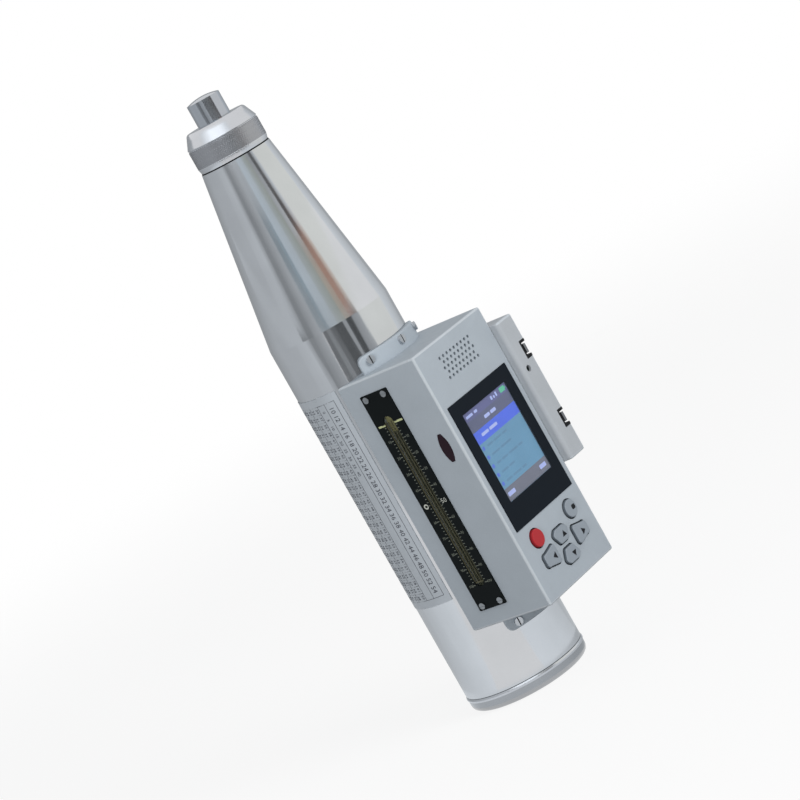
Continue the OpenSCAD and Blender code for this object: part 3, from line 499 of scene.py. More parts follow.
def rounded_box(low, high, radius, soft=0.0):
    """Mesh of a box with rounded edges. With soft, the edge at high X and low Y takes that
    radius, and the rest of the low Y side stays sharp."""
    low, high = Vector(low) * MM, Vector(high) * MM
    middle = (low + high) / 2
    place = Matrix.Translation(middle) @ Matrix.Diagonal((*(high - low), 1.0))
    bm = bmesh.new()
    bmesh.ops.create_cube(bm, size=1, matrix=place)
    edges = bm.edges[:]
    if soft:
        front = [e for e in edges
                 if all(v.co.x > middle.x and v.co.y < middle.y for v in e.verts)]
        bmesh.ops.bevel(bm, geom=front, offset=soft * MM, segments=8, profile=0.5,
                        affect="EDGES")
        edges = []
        for edge in bm.edges:
            first, last = (v.co for v in edge.verts)
            level = abs(first.z - last.z) < NEAR * MM
            on_low_side = max(first.y, last.y) < low.y + NEAR * MM
            if not on_low_side and (level or min(first.y, last.y) > middle.y):
                edges.append(edge)
    bmesh.ops.bevel(bm, geom=edges, offset=radius * MM, segments=5, profile=0.5,
                    affect="EDGES", clamp_overlap=True)
    mesh = bpy.data.meshes.new("cutter")
    bm.to_mesh(mesh)
    bm.free()
    return mesh


def trimmed(name, node, low, high, soft=0.0):
    """A node's own mesh cut to a block with rounded edges, which are lighter: rubbed wear and a
    painted highlight.
    """
    source = placed("source", welded(node))
    cutter = placed("cutter", rounded_box(low, high, EDGE_R, soft))
    trim = source.modifiers.new("trim", "BOOLEAN")
    trim.operation, trim.solver, trim.object = "INTERSECT", "EXACT", cutter
    mesh = evaluated(source)
    for obj in (source, cutter):
        bpy.data.objects.remove(obj)
    mesh.name = name
    obj = wear(name, mesh, material_of[node], "housing")
    # Faces near two sides take the lighter edge colour, rubbed wear and a painted highlight
    mesh.materials.append(look["silver_edge"])
    for face in mesh.polygons:
        place = face.center / MM
        sides = sum(place[i] < low[i] + RUB_SHEEN_R and not (soft and i == 1)
                    or place[i] > high[i] - RUB_SHEEN_R for i in range(3))
        face.material_index = 1 if sides > 1 else 0
    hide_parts(node)
    return obj


def on_screen(u, v, height):
    return SCREEN_X + height, u, v


def on_scale(u, v, height):
    return u, SCALE_Y - height, v


def on_label(u, v, height):
    """u runs along the tube from the label's nose end, v round it towards the case."""
    polar = math.radians(LABEL_POLAR) + v / LABEL_R
    radius = LABEL_R + height
    return radius * math.cos(polar), radius * math.sin(polar), LABEL_TOP - u


# Turned pieces with smooth round faces

SKINS = [
    ("rear_skin", "rear_cap", "housing", "polished_aluminium"),
    ("plunger_skin", "impact_plunger", "carriage", "hard_steel"),
    ("bush_skin", "button_bush", "housing", "bright_steel"),
    ("button_skin", "lock_button", "lock_button", "red_plastic"),
]
for name, node, body, slot in SKINS:
    skin = wear(name, welded(node), material_of[node], body, weighted=False)
    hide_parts(node)

FACET_ANGLE = math.radians(7.9)  # more than a facet's turn, less than the cone's slope
HIDDEN_LOW, HIDDEN_TOP, HIDDEN_X = 36.0, 147.0, 12.0


def blackened_tube():
    """The tube with a sharp cone edge, painted dark as shade where the case covers it."""
    mesh = welded("housing_tube")
    bm = bmesh.new()
    bm.from_mesh(mesh)
    for z in (HIDDEN_LOW, HIDDEN_TOP):
        every = bm.verts[:] + bm.edges[:] + bm.faces[:]
        bmesh.ops.bisect_plane(bm, geom=every, plane_co=(0, 0, z * MM), plane_no=(0, 0, 1))
    bm.to_mesh(mesh)
    bm.free()
    tube = wear("tube_skin", mesh, "tube_metal", "housing", weighted=False,
                angle=FACET_ANGLE)
    mesh.materials.append(look["board_dark"])
    # Faces inside the case take a dark colour: painted shade
    for face in mesh.polygons:
        x, y, z = face.center / MM
        face.material_index = 1 if x > HIDDEN_X and HIDDEN_LOW < z < HIDDEN_TOP else 0
    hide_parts("housing_tube")


blackened_tube()


# Case with rounded edges

EDGE_R, SOFT_EDGE = 0.9, 2.0
RUB_SHEEN_R = EDGE_R * 0.99  # how far in from a side the lighter edge begins, rubbed wear with a painted highlight
SLACK = 0.004  # keeps the cut off the node's own faces
CASE_Y, CASE_LOW, CASE_TOP, CASE_BACK, CASE_FACE = 25.55, 34.3, 148.4, -60, 51.95
case_block = ((CASE_BACK, -CASE_Y - SLACK, CASE_LOW - SLACK),
              (CASE_FACE + SLACK, CASE_Y + SLACK, CASE_TOP + SLACK))
trimmed("case_body", "case_shell", *case_block)
panel = trimmed("panel_face", "front_panel", *case_block)

# The walls of the key holes take the mat's dark rubber, as painted shade in the gaps round the
# keys
KEYS_LOW, KEYS_TOP, KEYS_Y, KEYS_BACK = CASE_LOW + 4, 64.5, 19.5, SCREEN_X - 2.5
WALL_TILT = 0.1
panel.data.materials.append(look["mat_rubber"])
for face in panel.data.polygons:
    x, y, z = face.center / MM
    wall = abs(face.normal.x) < WALL_TILT and x > KEYS_BACK
    if wall and abs(y) < KEYS_Y and KEYS_LOW < z < KEYS_TOP:
        face.material_index = 2

side_low, side_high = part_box("side_housing")
trimmed("side_cover", "side_housing", [c / MM - SLACK for c in side_low],
        [c / MM + SLACK for c in side_high], SOFT_EDGE)

END_W, FLANGE_LEN, FLANGE_CORNER, FLANGE_EDGE, FLANGE_ROOT = 10.8, 7.0, 3.0, 0.8, 1.0
FLANGE_R, SADDLE_R = 29.3, 27.1
SCREW_ANGLE, SCREW_OFF, SCREW_HEAD_R, SCREW_HEAD_H = 34.0, 4.34, 1.8, 1.2
FLANGE_HALF = FLANGE_R * math.radians(SCREW_ANGLE) + END_W / 2  # half its length round the tube
FLANGE_COLUMNS, FLANGE_ROWS = 72, 14


def quarter(radius, aside):
    """Height of a quarter circle at a distance from its middle."""
    return math.sqrt(max(0.0, radius ** 2 - aside ** 2))


def flange_reach(s):
    """How far the flange's rounded end runs at a place s along its arc."""
    over = max(0.0, abs(s) - (FLANGE_HALF - FLANGE_CORNER))
    return FLANGE_LEN - FLANGE_CORNER + quarter(FLANGE_CORNER, over)


def flange_depth(s, z):
    """Distance to the flange's outline, inwards."""
    over = abs(s) - (FLANGE_HALF - FLANGE_CORNER)
    rise = z - (FLANGE_LEN - FLANGE_CORNER)
    if over > 0 and rise > 0:
        return FLANGE_CORNER - math.hypot(over, rise)
    return min(FLANGE_HALF - abs(s), FLANGE_LEN - z)


def flange(base, way):
    """Points and faces of one flange: a curved strip on the tube with a rounded rim."""
    points, faces = [], []
    for layer in (0, 1):
        for i in range(FLANGE_COLUMNS + 1):
            s = -FLANGE_HALF * math.cos(math.pi * i / FLANGE_COLUMNS)
            span = flange_reach(s) + FLANGE_ROOT
            for k in range(FLANGE_ROWS + 1):
                z = -FLANGE_ROOT + span * math.sin(math.pi / 2 * k / FLANGE_ROWS)
                radius = SADDLE_R
                if layer:
                    into = max(0.0, FLANGE_EDGE - flange_depth(s, z))
                    radius = FLANGE_R - FLANGE_EDGE + quarter(FLANGE_EDGE, into)
                angle = s / FLANGE_R
                points.append((radius * math.cos(angle), radius * math.sin(angle), base + way * z))
    across, up = FLANGE_ROWS + 1, (FLANGE_COLUMNS + 1) * (FLANGE_ROWS + 1)
    for i in range(FLANGE_COLUMNS):
        for k in range(FLANGE_ROWS):
            a = i * across + k
            quad = (a, a + across, a + across + 1, a + 1)
            faces.append(quad)
            faces.append(tuple(v + up for v in reversed(quad)))
    starts = [i * across for i in range(FLANGE_COLUMNS + 1)]
    sides = list(zip(starts, starts[1:]))
    rim = (sides + [(starts[-1] + k, starts[-1] + k + 1) for k in range(FLANGE_ROWS)]
           + [(b + FLANGE_ROWS, a + FLANGE_ROWS) for a, b in sides]
           + [(k + 1, k) for k in range(FLANGE_ROWS)])
    faces += [(a, b, b + up, a + up) for a, b in rim]
    return points, faces


flanges = piece("case_flanges", *joined(flange(CASE_TOP, 1), flange(CASE_LOW, -1)),
                "silver_paint", "silver_plastic")
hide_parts("case_shell")

SLOT_SHADE_R, SLOT_SHADE_TOP = SCREW_HEAD_R * 0.93, FLANGE_R + SCREW_HEAD_H - 0.05  # inside a head, where the slot is painted black as shade


def off_axis(point, axis, foot):
    """A point's distance from an axis, and its height along it."""
    height = (point - foot).dot(axis)
    return (point - foot - axis * height).length, height


def screw_skin():
    """The flange screws with smooth heads, painted black inside their slots as shade."""
    mesh = welded("lug_screws")
    heads = wear("flange_screw_heads", mesh, "satin_steel", "housing")
    mesh.materials.append(look["socket_black"])
    axes = [(Vector((math.cos(polar), math.sin(polar), 0)), Vector((0, 0, z)))
            for polar in (math.radians(SCREW_ANGLE * side) for side in (-1, 0, 1))
            for z in (CASE_TOP + SCREW_OFF, CASE_LOW - SCREW_OFF)]
    for face in mesh.polygons:
        centre = face.center / MM
        aside, height = min(off_axis(centre, *axis) for axis in axes)
        face.material_index = 1 if aside < SLOT_SHADE_R and height < SLOT_SHADE_TOP else 0
    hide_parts("lug_screws")


screw_skin()


# Keys with softened tops and their marks

KEY_EDGE = 0.6
RIM_TILT = 0.8


def soft_key(node, rim_shade):
    """A key with a rounded top edge, darker round its rim as painted shade."""
    mesh = welded(node)
    bm = bmesh.new()
    bm.from_mesh(mesh)
    bmesh.ops.dissolve_limit(bm, angle_limit=math.radians(1), verts=bm.verts, edges=bm.edges)
    top = max(v.co.x for v in bm.verts)
    rim = [e for e in bm.edges if all(v.co.x > top - NEAR * MM for v in e.verts)]
    bmesh.ops.bevel(bm, geom=rim, offset=KEY_EDGE * MM, segments=4, profile=0.5,
                    affect="EDGES", clamp_overlap=True)
    bm.to_mesh(mesh)
    bm.free()
    key = wear(node + "_cap", mesh, material_of[node], node)
    mesh.materials.append(look[rim_shade])
    # Rim faces take the darker colour, painted shade round the key
    for face in mesh.polygons:
        face.material_index = 0 if face.normal.x > RIM_TILT else 1
    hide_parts(node)


for key in ("round_key", "up_key", "down_key", "left_key", "right_key"):
    soft_key(key, "key_edge")
soft_key("red_key", "red_edge")

KEY_FACE = 53.15
MARK, MARK_TAIL, MARK_H = 1.5, 0.6, 0.05
ARROWS = {"up_key": (1.6, 53.4, 0, 1), "down_key": (1.6, 44.5, 0, -1),
          "left_key": (-9.8, 49.0, -1, 0), "right_key": (13.0, 48.9, 1, 0)}  # place, direction
ROUND_MARK = (13.6, 58.3, 16.0, 60.3, 0.6)


def arrow(u, v, du, dv):
    """Outline of an arrow head at (u, v)."""
    tail_u, tail_v = u - du * MARK * MARK_TAIL, v - dv * MARK * MARK_TAIL
    return [(u + du * MARK, v + dv * MARK),
            (tail_u - dv * MARK, tail_v + du * MARK), (tail_u + dv * MARK, tail_v - du * MARK)]


def on_key(u, v, height):
    return KEY_FACE + height, u, v


key_marks = {key: arrow(*entry) for key, entry in ARROWS.items()}
key_marks["round_key"] = round_bar(*ROUND_MARK)
for key, outline in key_marks.items():
    piece(key + "_mark", *prisms([outline], 0, MARK_H, on_key), "key_ink", "key_grey", key)


# Nose cap with its knurl, a dark ring of painted shade in the gap behind it, and its felt ring,
# and the seam and bead at the rear end

KNURLS, KNURL_STEPS, KNURL_DEPTH = 88, 5, 0.22
CAP_R, CAP_FRONT_R, CAP_BORE_R, CAP_LOW, CAP_TOP = 15.8, 13.1, 7.38, 248.5, 265.1
BAND_LOW, BAND_HIGH, CONE_LOW = 250.7, 258.3, 259.2
SPIGOT_LOW, SPIGOT_R, SLEEVE_BORE_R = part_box("nose_cap")[0].z / MM, 13.931, 8.9
FELT_LOW, FELT_HIGH = (c.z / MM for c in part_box("felt_seal"))
FELT_R, FELT_IN, FELT_CORNER, FELT_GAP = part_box("felt_seal")[1].x / MM, 7.6, 0.5, 0.1
BAND_ROWS, BAND_SKIN = 24, 0.8
# Small edges of the profile: inset from the cap's radius, and height over the form they follow
REAR_EDGE = 0.6
BAND_FOOT = ((0.15, -0.6), (0.1, -0.1))
GROOVE = ((0.1, 0.1), (0.4, 0.25), (0.4, 0.5), (0.1, 0.65), (0, 0.75))
CONE_FOOT = ((0, -0.05), (0.12, 0.25))
CONE_RINGS = (CONE_LOW + 0.6, CONE_LOW + 2.0, CONE_LOW + 3.5, CAP_TOP - 0.7)


def nose_profile():
    """Closed profile from the bore's rear end round the outside, and the rows of the knurl."""
    profile = [(SLEEVE_BORE_R, SPIGOT_LOW), (SPIGOT_R, SPIGOT_LOW), (SPIGOT_R, CAP_LOW),
               (CAP_R - REAR_EDGE, CAP_LOW)]
    profile += [(CAP_R - inset, BAND_LOW + rise) for inset, rise in BAND_FOOT]
    first = len(profile)
    for k in range(BAND_ROWS + 1):
        profile.append((CAP_R, BAND_LOW + (BAND_HIGH - BAND_LOW) * k / BAND_ROWS))
    last = len(profile)
    profile += [(CAP_R - inset, BAND_HIGH + rise) for inset, rise in GROOVE]
    profile += [(CAP_R - inset, CONE_LOW + rise) for inset, rise in CONE_FOOT]
    slope = (CAP_FRONT_R - CAP_R) / (CAP_TOP - CONE_LOW)
    profile += [(CAP_R + slope * (z - CONE_LOW), z) for z in CONE_RINGS]
    seat_r, seat_low, seat_high = FELT_R + FELT_GAP, FELT_LOW - FELT_GAP, FELT_HIGH + FELT_GAP
    profile += [(CAP_FRONT_R - 0.05, CAP_TOP - 0.3), (CAP_FRONT_R - 0.45, CAP_TOP),
                (CAP_BORE_R + 0.5, CAP_TOP), (CAP_BORE_R, CAP_TOP - 0.4),
                (CAP_BORE_R, seat_high), (seat_r, seat_high),
                (seat_r, seat_low), (CAP_BORE_R, seat_low),
                (CAP_BORE_R, FELT_LOW - 4), (SLEEVE_BORE_R, FELT_LOW - 4)]
    return profile, first, last


nose_rows, knurl_first, knurl_last = nose_profile()


def knurl(k, r, z, i):
    """Crossing grooves in the rows of the band."""
    if knurl_first <= k < knurl_last:
        lead = (z - BAND_LOW) / (TAU * CAP_R) * KNURLS
        turn = i / KNURL_STEPS
        ridges = [abs((turn + side * lead) % 1.0 - 0.5) * 2 for side in (-1, 1)]
        r -= KNURL_DEPTH * (1 - max(ridges))
    return r, z


cap = piece("nose_ring", *lathe(nose_rows, KNURLS * KNURL_STEPS, knurl), "cap_metal",
            "bright_steel")
cap.data.materials.append(look["knurl_metal"])
for face in cap.data.polygons:
    height = face.center.z / MM
    outside = math.hypot(face.center.x, face.center.y) / MM > CAP_R - BAND_SKIN
    face.material_index = 1 if outside and BAND_LOW < height < BAND_HIGH + 0.3 else 0
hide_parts("nose_cap")

# Sections of two rings: inner and outer radius with their heights, corner radius, corner steps
SEAM_Z, TUBE_R = 6.5, 27.0
GAP_SHADE_RING = (SPIGOT_R + 0.05, 248.02, 15.4, CAP_LOW - 0.02, 0.12, 3)
SEAM = (TUBE_R - 0.3, SEAM_Z, TUBE_R + 0.02, SEAM_Z + 0.3, 0.02, 1)
# A dark ring fills the gap between the tube's end and the nose cap: painted shade
piece("nose_gap_shade", *lathe(round_bar(*GAP_SHADE_RING), 120), "socket_black", "key_rubber")
piece("rear_seam", *lathe(round_bar(*SEAM), 160), "joint_dark", "polished_aluminium")
BEAD_R = TUBE_R + 0.35
bead = [(TUBE_R - 1.0, SEAM_Z - 1.5), (BEAD_R - 0.1, SEAM_Z - 1.5), (BEAD_R, SEAM_Z - 1.3),
        (BEAD_R, SEAM_Z - 0.75), (BEAD_R - 0.05, SEAM_Z - 0.65), (TUBE_R, SEAM_Z - 0.05),
        (TUBE_R - 1.0, SEAM_Z - 0.05)]
piece("rear_bead", *lathe(bead, 192), "cap_metal", "polished_aluminium")


def felt_nap(k, r, z, i):
    """Uneven pile, from waves that don't repeat."""
    return r - 0.06 * (1 + math.sin(7.1 * i + 3.3 * k)), z + 0.05 * math.sin(5.3 * i + 2.1 * k)


felt_section = round_bar(FELT_IN, FELT_LOW, FELT_R, FELT_HIGH, FELT_CORNER)
felt = piece("felt_ring", *lathe(felt_section, 120, felt_nap), "felt_grey", "felt")
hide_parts("felt_seal")


# Springs as smooth round wire

RINGS, SIDES = 36, 10  # of one turn, and round the wire
COIL_SHARE = 0.97


def coil(node, wire, turns, axis):
    """Smooth helix in the space of a node's spring."""
    low, high = (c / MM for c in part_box(node))
    if axis == "z":
        outer, start, length = high.x, low.z, high.z - low.z
        at = lambda a, b, z: (a, b, z)
    else:
        centre_z = (low.z + high.z) / 2
        outer, start, length = (high.z - low.z) / 2, low.y, high.y - low.y
        at = lambda a, b, y: (b, y, centre_z + a)
    mean_r = (outer - wire / 2) * COIL_SHARE
    count = int(RINGS * turns)
    rise = (length - wire) / (TAU * turns * mean_r)
    points, faces = [], []
    for i in range(count + 1):
        angle = TAU * i / RINGS
        middle = start + wire / 2 + (length - wire) * i / count
        for k in range(SIDES):
            side = TAU * k / SIDES
            out, up = wire / 2 * math.cos(side), wire / 2 * math.sin(side)
            back = -up * rise
            a = (mean_r + out) * math.cos(angle) - back * math.sin(angle)
            b = (mean_r + out) * math.sin(angle) + back * math.cos(angle)
            points.append(at(a, b, middle + up))
    for i in range(count):
        for k in range(SIDES):
            n = (k + 1) % SIDES
            faces.append((i * SIDES + k, (i + 1) * SIDES + k, (i + 1) * SIDES + n, i * SIDES + n))
    faces.append(tuple(range(SIDES)))
    faces.append(tuple(range(len(points) - 1, len(points) - 1 - SIDES, -1)))
    return points, faces


def spring(name, node, wire, turns, bodies, axis="z"):
    """A spring that rides on one body, or is left unattached where it lies between two."""
    obj = piece(name, *coil(node, wire, turns, axis), "spring_wire", "spring_steel",
                bodies[0] if len(bodies) == 1 else None)
    if len(bodies) == 2:
        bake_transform(obj)
    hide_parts(node)


spring("impact_coil", "impact_spring", 2.2, 12, ("hammer", "housing"))
spring("buffer_coil", "buffer_spring", 1.0, 10, ("carriage",))
spring("rear_coil", "compression_spring", 1.2, 5, ("housing", "carriage"))
spring("button_coil", "button_spring", 0.5, 3, ("housing", "lock_button"), "y")


# Screen

LENS_LOW, LENS_HIGH = 0.42, 0.6
LCD_Y, LCD_LOW, LCD_TOP, LCD_GAP = 16.5, 77.5, 117.5, 0.06
STATUS_LOW, TITLE_LOW, PICK_LOW, LIST_LOW = 113.7, 108.7, 103.5, 83.0
FILM = 0.03


def screen_piece(name, bars, layer, material):
    """Bars (ends, corner radius) in the screen's first or second film."""
    films = prisms([round_bar(*b) for b in bars], layer * FILM, (layer + 1) * FILM, on_screen)
    piece(name, *films, material, "screen_panel")


edge, lcd_low, lcd_top = LCD_Y - LCD_GAP, LCD_LOW + LCD_GAP, LCD_TOP - LCD_GAP
STRIPS = [("screen_list", LIST_LOW, PICK_LOW, "screen_body"),
          ("screen_status", STATUS_LOW, lcd_top, "screen_top"),
          ("screen_heading", TITLE_LOW, STATUS_LOW, "screen_title"),
          ("screen_choice", PICK_LOW, TITLE_LOW, "screen_pick"),
          ("screen_base", lcd_low, LIST_LOW, "screen_foot")]
for name, low, high, material in STRIPS:
    screen_piece(name, [(-edge, low, edge, high, 0.1)], 0, material)
BATTERY = [(11.6, 114.5, 15.2, 116.6, 0.3), (15.3, 115.1, 15.8, 116.0, 0.15)]
screen_piece("screen_battery", BATTERY, 1, "screen_green")
PALE_BARS = [(-14.6, 114.9, -9.8, 116.0, 0.3), (-8.6, 114.9, -6.4, 116.0, 0.3),
             (4.4, 114.7, 5.6, 116.3, 0.3), (6.4, 114.7, 7.4, 115.8, 0.3),
             (8.2, 114.7, 9.2, 116.6, 0.3),
             (-4.4, 110.5, -0.4, 111.9, 0.4), (0.3, 110.5, 4.2, 111.9, 0.4),
             (-11.2, 105.5, -6.0, 106.8, 0.4), (-5.2, 105.5, 0.6, 106.8, 0.4),
             (-14.8, 79.4, -9.6, 81.2, 0.4), (10.2, 79.4, 14.8, 81.2, 0.4)]
screen_piece("screen_marks", PALE_BARS, 1, "screen_pale")
ROW_PITCH, ROW_TOP, ROW_LEFT, ROW_HALF, ROW_GAP = 4.05, 101.4, -11.4, 0.45, 0.9
DOT_LEFT, DOT_RIGHT, DOT_HALF = -15.0, -13.4, 0.8
MENU = ((4.2, 5.6, 3.4), (6.0, 7.8), (3.2, 4.4, 6.6, 3.0), (5.0, 4.0), (4.4, 6.2, 3.0))
dashes, dots = [], []
for row, lengths in enumerate(MENU):
    height = ROW_TOP - row * ROW_PITCH
    dots.append((DOT_LEFT, height - DOT_HALF, DOT_RIGHT, height + DOT_HALF, 0.35))
    left = ROW_LEFT
    for length in lengths:
        dashes.append((left, height - ROW_HALF, left + length, height + ROW_HALF, 0.3))
        left += length + ROW_GAP
screen_piece("screen_rows", dashes, 1, "screen_dash")
screen_piece("screen_dots", dots, 1, "screen_dot")

lens_outline = round_bar(-edge, lcd_low, edge, lcd_top, 0.15)
glass = piece("screen_cover", *prisms([lens_outline], LENS_LOW, LENS_HIGH, on_screen),
              "lens_clear", "screen_glass")
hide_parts("display_lens")


# Scale

SLOT_X, SLOT_W, SLOT_LOW, SLOT_TOP = 25.1, 5.0, 51.75, 130.75
ZERO_Z, HUNDRED_Z = 127.75, 52.75
INK = 0.03
TICK_W, TICK_GAP, TICK_LONG, TICK_SHORT = 0.3, 0.2, 1.5, 0.8
LEFT_X, RIGHT_X, VALUE_SIZE = 20.2, 30.3, 1.7
FIFTY_X, FIFTY_Z, FIFTY_SIZE = 30.1, (ZERO_Z + HUNDRED_Z) / 2, 2.9
RING_OUT, RING_IN, RING_STEPS = 1.15, 0.6, 24
ticks, numerals = [], []
for value in range(0, 101, 2):
    z = ZERO_Z + (HUNDRED_Z - ZERO_Z) * value / 100
    reach = TICK_SHORT if value % 10 else TICK_LONG
    for side in (-1, 1):
        near = SLOT_X + side * (SLOT_W / 2 + TICK_GAP)
        far = near + side * reach
        ticks.append(bar(min(near, far), z - TICK_W / 2, max(near, far), z + TICK_W / 2))
    if value % 10 == 0 and value not in (0, 50):
        for x in (LEFT_X, RIGHT_X):
            numerals.append(numeral(value, x, z, on_scale, VALUE_SIZE, INK))


def ring_point(radius, k):
    angle = TAU * (k % RING_STEPS) / RING_STEPS
    return LEFT_X + radius * math.cos(angle), FIFTY_Z + radius * math.sin(angle)


ring_parts = [[ring_point(RING_OUT, k), ring_point(RING_OUT, k + 1),
               ring_point(RING_IN, k + 1), ring_point(RING_IN, k)] for k in range(RING_STEPS)]
piece("scale_marks", *joined(prisms(ticks, 0, INK, on_scale), *numerals), "scale_ink",
      "black_plate")
fifty = numeral(50, FIFTY_X, FIFTY_Z, on_scale, FIFTY_SIZE, INK)
piece("middle_marks", *joined(prisms(ring_parts, 0, INK, on_scale), fifty), "scale_light",
      "black_plate")
INDEX_BARS = ((18.9, 127.0, 22.55, 127.85), (27.65, 127.0, 32.2, 127.85))
piece("index_lines", *prisms([bar(*b) for b in INDEX_BARS], 0, INK, on_scale), "index_ink",
      "black_plate")

# Rails in the slot: left and right sides from its middle, and a stop bar at the low end
RAILS = ((-2.4, -2.0), (-0.95, -0.65), (0.65, 0.95), (2.0, 2.4))
RAIL_END, RAIL_LOW, RAIL_HIGH = 2.4, -0.58, -0.28
STOP_HALF, STOP_LOW, STOP_TOP = 2.1, SLOT_LOW + 1.5, SLOT_LOW + 2.2
rail_outlines = [bar(SLOT_X + left, SLOT_LOW + RAIL_END, SLOT_X + right, SLOT_TOP - RAIL_END)
                 for left, right in RAILS]
rail_outlines.append(bar(SLOT_X - STOP_HALF, STOP_LOW, SLOT_X + STOP_HALF, STOP_TOP))
piece("slot_rails", *prisms(rail_outlines, RAIL_LOW, RAIL_HIGH, on_scale), "rail_olive",
      "black_plate")


# Table on the tube: a plain grid with plain numbers

LINE = 0.2
LABEL_INK = 0.03
COLUMNS, ROWS, HEADINGS, NOTES = 26, 8, 23, 9
TABLE_LOW, TABLE_HIGH, TABLE_LEFT, TABLE_RIGHT = 1.4, 24.4, 3.4, 94.8
HEAD_V, HEAD_LOW, HEAD_HIGH, HEAD_INSET = 31.0, 28.6, 33.9, 3.5
NOTE_LEFT, NOTE_PITCH, NOTE_V = 6.5, 3.6, 26.4
# Size and height of the numbers
HEAD_TYPE, NOTE_TYPE, CELL_TYPE = (3.1, 0.06), (2.1, 0.05), (2.0, 0.05)


def label_bars():
    """Lines of the table: columns, every second row, the heading's frame."""
    bars = []
    for k in range(COLUMNS + 1):
        u = TABLE_LEFT + (TABLE_RIGHT - TABLE_LEFT) * k / COLUMNS
        bars.append(bar(u - LINE / 2, TABLE_LOW, u + LINE / 2, TABLE_HIGH, 16))
    rows = [TABLE_LOW + (TABLE_HIGH - TABLE_LOW) * k / ROWS for k in range(0, ROWS + 1, 2)]
    for v in rows + [HEAD_LOW, HEAD_HIGH]:
        bars.append(bar(TABLE_LEFT, v - LINE / 2, TABLE_RIGHT, v + LINE / 2))
    for u in (TABLE_LEFT, TABLE_RIGHT):
        bars.append(bar(u - LINE / 2, TABLE_HIGH, u + LINE / 2, HEAD_HIGH, 8))
    return bars


def label_numbers():
    """Headings, a short row of notes, and the cells."""
    found = []
    head_len = TABLE_RIGHT - TABLE_LEFT - 2 * HEAD_INSET
    for k in range(HEADINGS):
        u = TABLE_LEFT + HEAD_INSET + head_len * k / (HEADINGS - 1)
        found.append(numeral(10 + 2 * k, u, HEAD_V, on_label, *HEAD_TYPE))
    for k in range(NOTES):
        found.append(numeral(5 * k, NOTE_LEFT + NOTE_PITCH * k, NOTE_V, on_label, *NOTE_TYPE))
    wide = (TABLE_RIGHT - TABLE_LEFT) / COLUMNS
    tall = (TABLE_HIGH - TABLE_LOW) / ROWS
    for column in range(COLUMNS):
        for row in range(ROWS):
            value = 12 + column + 3 * row + (column * 7 + row * 3) % 5
            found.append(numeral(value, TABLE_LEFT + wide * (column + 0.5),
                                 TABLE_LOW + tall * (row + 0.5), on_label, *CELL_TYPE))
    return found


piece("label_grid", *prisms(label_bars(), 0, LABEL_INK, on_label), "label_ink", "label_white")
piece("label_numbers", *joined(*label_numbers()), "label_ink", "label_white")


# Stage: floor, world, lamps and cards that only the metal sees

def shown_rays(tree):
    """1 for rays from the camera, a mirror or a glass, 0 for light on a matt surface."""
    path = add(tree, "LightPath")
    most = path.outputs["Is Camera Ray"]
    for name in ("Is Glossy Ray", "Is Transmission Ray"):
        both = add(tree, "Math", most, path.outputs[name])
        both.operation = "MAXIMUM"
        most = both.outputs[0]
    return most


AMBIENT, SKY = 0.42, (0.97, 0.985, 1.0, 1)


def make_world():
    """Soft light on the object, plain white wherever the backdrop is seen."""
    world = bpy.data.worlds.new("studio")
    bpy.context.scene.world = world
    world.use_nodes = True
    tree = world.node_tree
    soft = tree.nodes["Background"]
    fill(soft, {"Color": SKY, "Strength": AMBIENT})
    white = add(tree, "Background", Color=(1, 1, 1, 1), Strength=1.0)
    mix = add(tree, "MixShader", shown_rays(tree), soft.outputs[0], white.outputs[0])
    tree.links.new(mix.outputs[0], tree.nodes["World Output"].inputs["Surface"])


FLOOR_R, FLOOR_FADE, FLOOR_Z = 1.3, 0.45, -0.3  # metres, the height in millimetres
FLOOR_COLOUR = (0.97, 0.97, 0.97, 1)
FLOOR_GLOW, FLOOR_DULL = 0.86, 0.62  # plain white share as seen, and as it lights the tool


def make_floor():
    """A pale round floor that keeps the shadow and fades into the white backdrop."""
    bm = bmesh.new()
    bmesh.ops.create_circle(bm, cap_ends=True, segments=96, radius=FLOOR_R)
    mesh = bpy.data.meshes.new("floor")
    bm.to_mesh(mesh)
    bm.free()
    floor = placed("floor", mesh)
    floor.location.z = FLOOR_Z * MM
    tree, end = bare_material("floor", mesh)
    matt = add(tree, "BsdfDiffuse", Color=FLOOR_COLOUR)
    shown = shown_rays(tree)
    glow = add(tree, "Emission", None, shown)
    share = add(tree, "MapRange", shown, To_Min=FLOOR_DULL, To_Max=FLOOR_GLOW)
    tint = add(tree, "MixShader", share.outputs["Result"], matt.outputs[0], glow.outputs[0])
    length = add(tree, "VectorMath", add(tree, "TexCoord").outputs["Object"])
    length.operation = "LENGTH"
    fade = add(tree, "MapRange", length.outputs["Value"], From_Min=FLOOR_FADE,
               From_Max=FLOOR_R * 0.95)
    fade.interpolation_type = "SMOOTHSTEP"
    clear = add(tree, "BsdfTransparent")
    mix = add(tree, "MixShader", fade.outputs[0], tint.outputs[0], clear.outputs[0])
    tree.links.new(mix.outputs[0], end)


# Lamps: name, place, aim and width in metres, power in watts
LAMPS = [("key", (1.35, -0.12, 0.85), (0, 0, 0.1), 0.8, 11.8),
         ("fill", (0.35, -1.2, 0.08), (0, 0, 0.06), 0.5, 4.8)]


def lamp(name, place, aim, size, power):
    """A soft round lamp that the metal doesn't mirror."""
    data = bpy.data.lights.new(name, "AREA")
    data.shape = "DISK"
    data.size = size
    data.energy = power
    obj = placed(name, data)
    obj.location = place
    obj.rotation_euler = (Vector(aim) - Vector(place)).to_track_quat("-Z", "Y").to_euler()
    obj.visible_glossy = False


CARD_STEPS = 12


